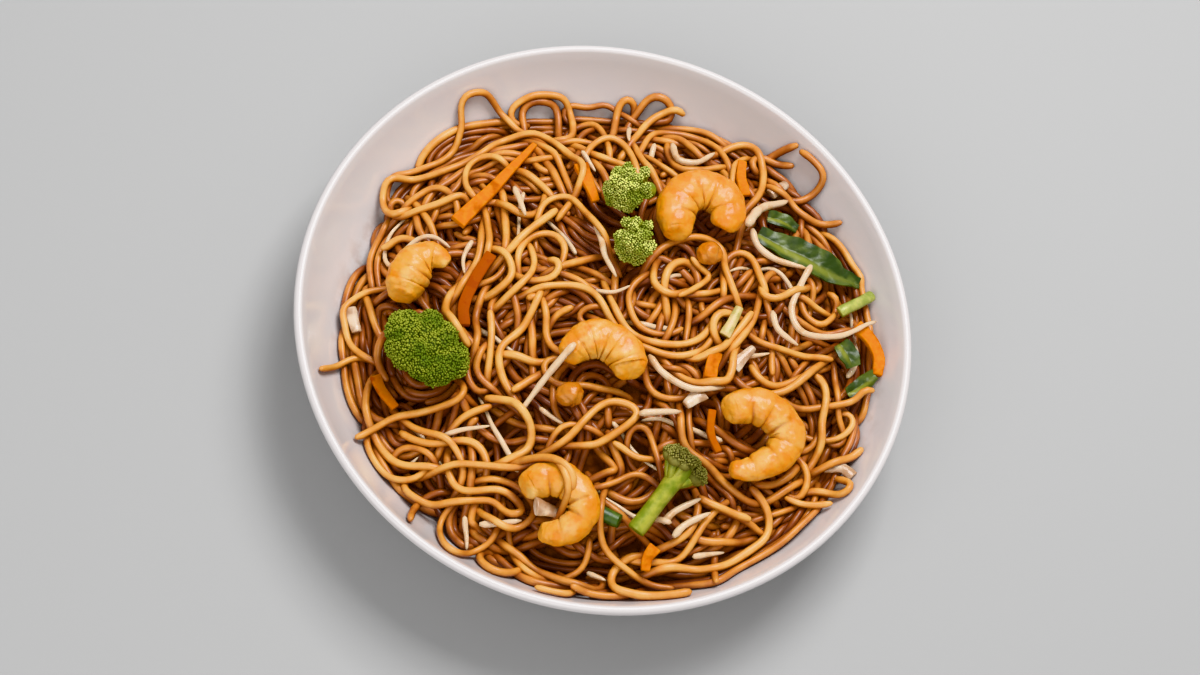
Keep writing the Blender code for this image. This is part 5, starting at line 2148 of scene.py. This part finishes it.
@dataclass
class Toppings:
    """Everything that lies on the noodles, each with its plan route as places across and away."""

    prawns: tuple[Prawn, ...] = (
        Prawn("prawn_centre", (-19, -25, -15, -20, -8, -17, -1, -19, 4, -24, 6, -31), (7.0, 7.8, 8.4)),
        Prawn("prawn_right", (44, -43, 51, -41, 58, -41, 65, -45, 69, -52, 66, -59, 60, -63, 53, -66, 45,
              -66), (7.8, 7.0, 4.6), 0.2, 7, 0.07),
        Prawn("prawn_back", (27, 31, 27, 43, 32, 51, 39, 54, 47, 51, 50, 44, 47, 37), (7.8, 8.4, 7.6), 0.7),
        Prawn("prawn_left", (-83, 5, -80, 14, -76, 20, -70, 22, -64, 19), (7.8, 7.8, 4.0), -0.2, 5),
        Prawn("prawn_front", (-36, -76, -29, -73, -22, -73, -16, -77, -13, -84, -16, -90, -22, -93, -30, -92),
              (7.4, 6.4, 5.4), 0.2, sauce=0.06),
        Prawn("prawn_under_back", (36, 23, 41, 25, 46, 25), (4.6, 4.8, 4.2), 0.8, 1, 0.55),
        Prawn("prawn_under_centre", (-22, -42, -18, -39, -13, -40), (4.4, 4.8, 4.2), 0.3, 1, 0.6),
    )
    carrots: tuple[Strip, ...] = (
        Strip("carrot_long", (-27, 80, -44, 57, -60, 39), 1.1, 3.3, 1.3),
        Strip("carrot_curved", (-47, 23, -53, 13, -58, 1, -58, -8), 2.3, 2.3, 1.2, soaked=0.9),
        Strip("carrot_by_broccoli", (-9, 68, -7, 59, -4, 49), 3.0, 1.6, 1.3),
        Strip("carrot_back", (61, 77, 59, 67, 60, 58), 1.8, 2.3, 1.2),
        Strip("carrot_mid", (41, -19, 39, -25, 38, -30), 2.6, 2.6, 1.6),
        Strip("carrot_front", (15, -97, 12, -101, 11, -106), 2.6, 1.6, 1.3),
        Strip("carrot_rim", (103, 1, 109, -5, 112, -12, 111, -19), 2.8, 2.2, 1.3),
        Strip("carrot_left", (-92, -25, -89, -32, -84, -39), 2.2, 1.6, 1.2, soaked=0.4),
        Strip("carrot_thin", (39, -42, 38, -51, 41, -59), 1.6, 1.4, 1.2, soaked=0.65),
    )
    onions: tuple[Strip, ...] = (
        Strip("onion_back", (72, 62, 80, 69), 2.6, 2.0, 1.4, 12),
        Strip("onion_mid", (28, -41, 35, -35), 1.8, 3.8, 1.1, 12),
        Strip("onion_arc", (48, -24, 57, -15), 3.2, 1.4, 1.1, 12),
        Strip("onion_left", (-102, 7, -99, -4), 2.8, 2.0, 1.1, 12),
        Strip("onion_right", (86, -60, 93, -60, 97, -64), 1.8, 2.6, 1.1, 12),
        Strip("onion_front", (-32, -84, -22, -84), 3.8, 2.0, 1.6, 12),
    )
    stalks: tuple[Strip, ...] = (
        Strip("stalk_light", (96, 6, 104, 11, 112, 17), 2.4, 2.4, 1.8, 10),
        Strip("stalk_stub", (-9, -83, -3, -86, 1, -88), 3.2, 2.8, 2.2, 10),
        Strip("stalk_mid", (45, -11, 49, -4, 52, 2), 2.4, 1.8, 1.0, 10),
    )
    leaves: tuple[Leaf, ...] = (
        Leaf("leaf_large", (64, 40, 73, 35, 82, 31, 90, 27, 99, 24, 108, 23), (3.0, 6.4, 2.2)),
        Leaf("leaf_behind", (69, 49, 75, 48, 82, 45), (2.4, 3.4, 1.8)),
        Leaf("leaf_rim", (95, -8, 98, -13, 100, -18), (3.0, 4.4, 3.2)),
        Leaf("leaf_end", (97, -29, 103, -25, 110, -19), (2.0, 3.2, 2.2)),
    )
    sprouts: tuple[BeanSprout, ...] = (
        BeanSprout("sprout_leaf", (61, 41, 63, 33, 70, 27, 82, 23), 1.4),
        BeanSprout("sprout_long", (84, 24, 78, 13, 74, 2, 79, -7, 95, -6, 112, 4), 1.35),
        BeanSprout("sprout_hook", (66, 2, 68, -6, 76, -12), 1.3),
        BeanSprout("sprout_centre", (14, -21, 20, -29, 31, -35, 44, -33), 1.4),
        BeanSprout("sprout_across", (-17, -22, -28, -34, -37, -45), 1.4),
        BeanSprout("sprout_broccoli", (-5, 38, -3, 29, -2, 21, 2, 12), 1.3),
        BeanSprout("sprout_left", (-82, 27, -75, 33, -69, 33, -63, 28), 1.1),
        BeanSprout("sprout_top", (31, 83, 33, 75, 41, 74, 49, 80), 1.4),
        BeanSprout("sprout_broad", (57, 38, 65, 50, 79, 59), 1.9),
        BeanSprout("sprout_mid", (9, -46, 17, -45, 26, -44), 1.4),
        BeanSprout("sprout_pair_a", (18, -88, 23, -83, 33, -78), 1.4),
        BeanSprout("sprout_pair_b", (22, -93, 27, -88, 37, -83), 1.4),
        BeanSprout("sprout_front", (-52, -87, -44, -87, -36, -86), 1.3),
        BeanSprout("sprout_short", (-37, 55, -33, 41), 1.2),
    )
    florets: tuple[Broccoli, ...] = (
        Broccoli("broccoli_left", (-73.4, -19.4), (18.5, 15, 11), -44, 0, 3.0, 6.5, 22, 0.34, BudFinish()),
        Broccoli("broccoli_back", (9, 51), (12.5, 10.5, 9.5), 196, 52, 9.0, 4.0, 19, 0.30, LIGHT_BUDS, 20),
        Broccoli("broccoli_mid", (9, 27), (9.0, 11.5, 9.0), -100, 58, 9.0, 3.8, 17, 0.29, LIGHT_BUDS, 80),
        Broccoli("broccoli_front", (25, -69), (12.5, 7.5, 6.5), 52, 78, 29.0, 3.9, 13, 0.34, DULL_BUDS),
    )

    def build(self) -> None:
        """Builds every topping."""
        stalk = stem_finish("stalk", (0.54, 0.52, 0.15), (0.28, 0.33, 0.06))
        dark_stalk = stem_finish("dark_stalk", (0.10, 0.17, 0.02), (0.03, 0.07, 0.01))
        pale_stalk = stem_finish("pale_stalk", (0.76, 0.56, 0.29), (0.46, 0.38, 0.12))
        plans = (
            (self.prawns, PrawnFinish(), Slot.PRAWN),
            (self.carrots, CARROT, Slot.CARROT),
            (self.onions, ONION, Slot.ONION),
            (self.stalks[:1], stalk, Slot.STALK),
            (self.stalks[1:2], dark_stalk, Slot.STALK),
            (self.stalks[2:], pale_stalk, Slot.STALK),
            (self.leaves, LEAF, Slot.LEAF),
            (self.sprouts, SPROUT, Slot.SPROUT),
        )
        for pieces, finish, slot in plans:
            material = finish.make()
            for piece in pieces:
                piece.build(material, slot)
        stem = stem_finish("floret_stem", (0.46, 0.45, 0.07), (0.19, 0.25, 0.015)).make()
        for floret in self.florets:
            floret.build(stem)


# Studio


@dataclass(frozen=True)
class Studio:
    """A pale floor, soft light and the camera."""

    floor_colour: Colour = (0.445, 0.445, 0.445)
    view: PhotoView = PhotoView()

    def floor(self) -> None:
        """Lays the floor."""
        deselect_all()
        bpy.ops.mesh.primitive_plane_add(size=6.0)
        floor = added("floor")
        recipe = Recipe("floor")
        recipe.gloss(0.9)
        recipe.colour(self.floor_colour)
        floor.data.materials.append(recipe.material)

    def camera(self) -> None:
        """Sets up the camera at the photograph's angle."""
        data = bpy.data.cameras.new("camera")
        data.lens = self.view.lens
        data.sensor_width = self.view.sensor
        data.clip_start = 0.01
        camera = bpy.data.objects.new("camera", data)
        link(camera)
        right, up = Vector(self.view.right).normalized(), Vector(self.view.up).normalized()
        turn = Matrix((right, up, right.cross(up))).transposed()
        camera.matrix_world = Matrix.Translation(Vector(self.view.place) * MM) @ turn.to_4x4()
        bpy.context.scene.camera = camera

    def lamp(self, name: str, place: tuple[float, float, float], size: float, power: float) -> None:
        """Hangs a square lamp that faces the bowl.

        Args:
            name: Its name.
            place: Where, in metres.
            size: Its side.
            power: Its power in watts.
        """
        data = bpy.data.lights.new(name, "AREA")
        data.size = size
        data.energy = power
        lamp = bpy.data.objects.new(name, data)
        link(lamp)
        lamp.location = place
        lamp.rotation_euler = (Vector((0, 0, 0.03)) - Vector(place)).to_track_quat("-Z", "Y").to_euler()

    def light(self) -> None:
        """Lights the set."""
        world = bpy.data.worlds.new("studio")
        world.use_nodes = True
        sky = world.node_tree.nodes["Background"].inputs
        sky["Color"].default_value = (1.0, 1.0, 1.0, 1.0)
        sky["Strength"].default_value = 0.42
        bpy.context.scene.world = world
        bpy.context.scene.view_settings.view_transform = "Khronos PBR Neutral"
        self.lamp("key", (0.30, 0.50, 1.15), 0.6, 14.4)
        self.lamp("fill", (-0.5, -0.7, 0.9), 1.2, 6.2)

    def build(self) -> None:
        """Sets up the whole studio."""
        self.floor()
        self.camera()
        self.light()


def main() -> None:
    """Builds the serving and the studio round it."""
    logging.basicConfig(level=logging.INFO, format="%(message)s")
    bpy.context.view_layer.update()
    Studio().build()
    heap = HeapShape()
    Bowl(heap.bowl).build()
    Toppings().build()
    solids = PackedSolid(*[name for name in frame["nodes"] if name not in ("bowl", "noodles")])
    Noodles(heap, solids).build()


if __name__ == "__main__":
    main()
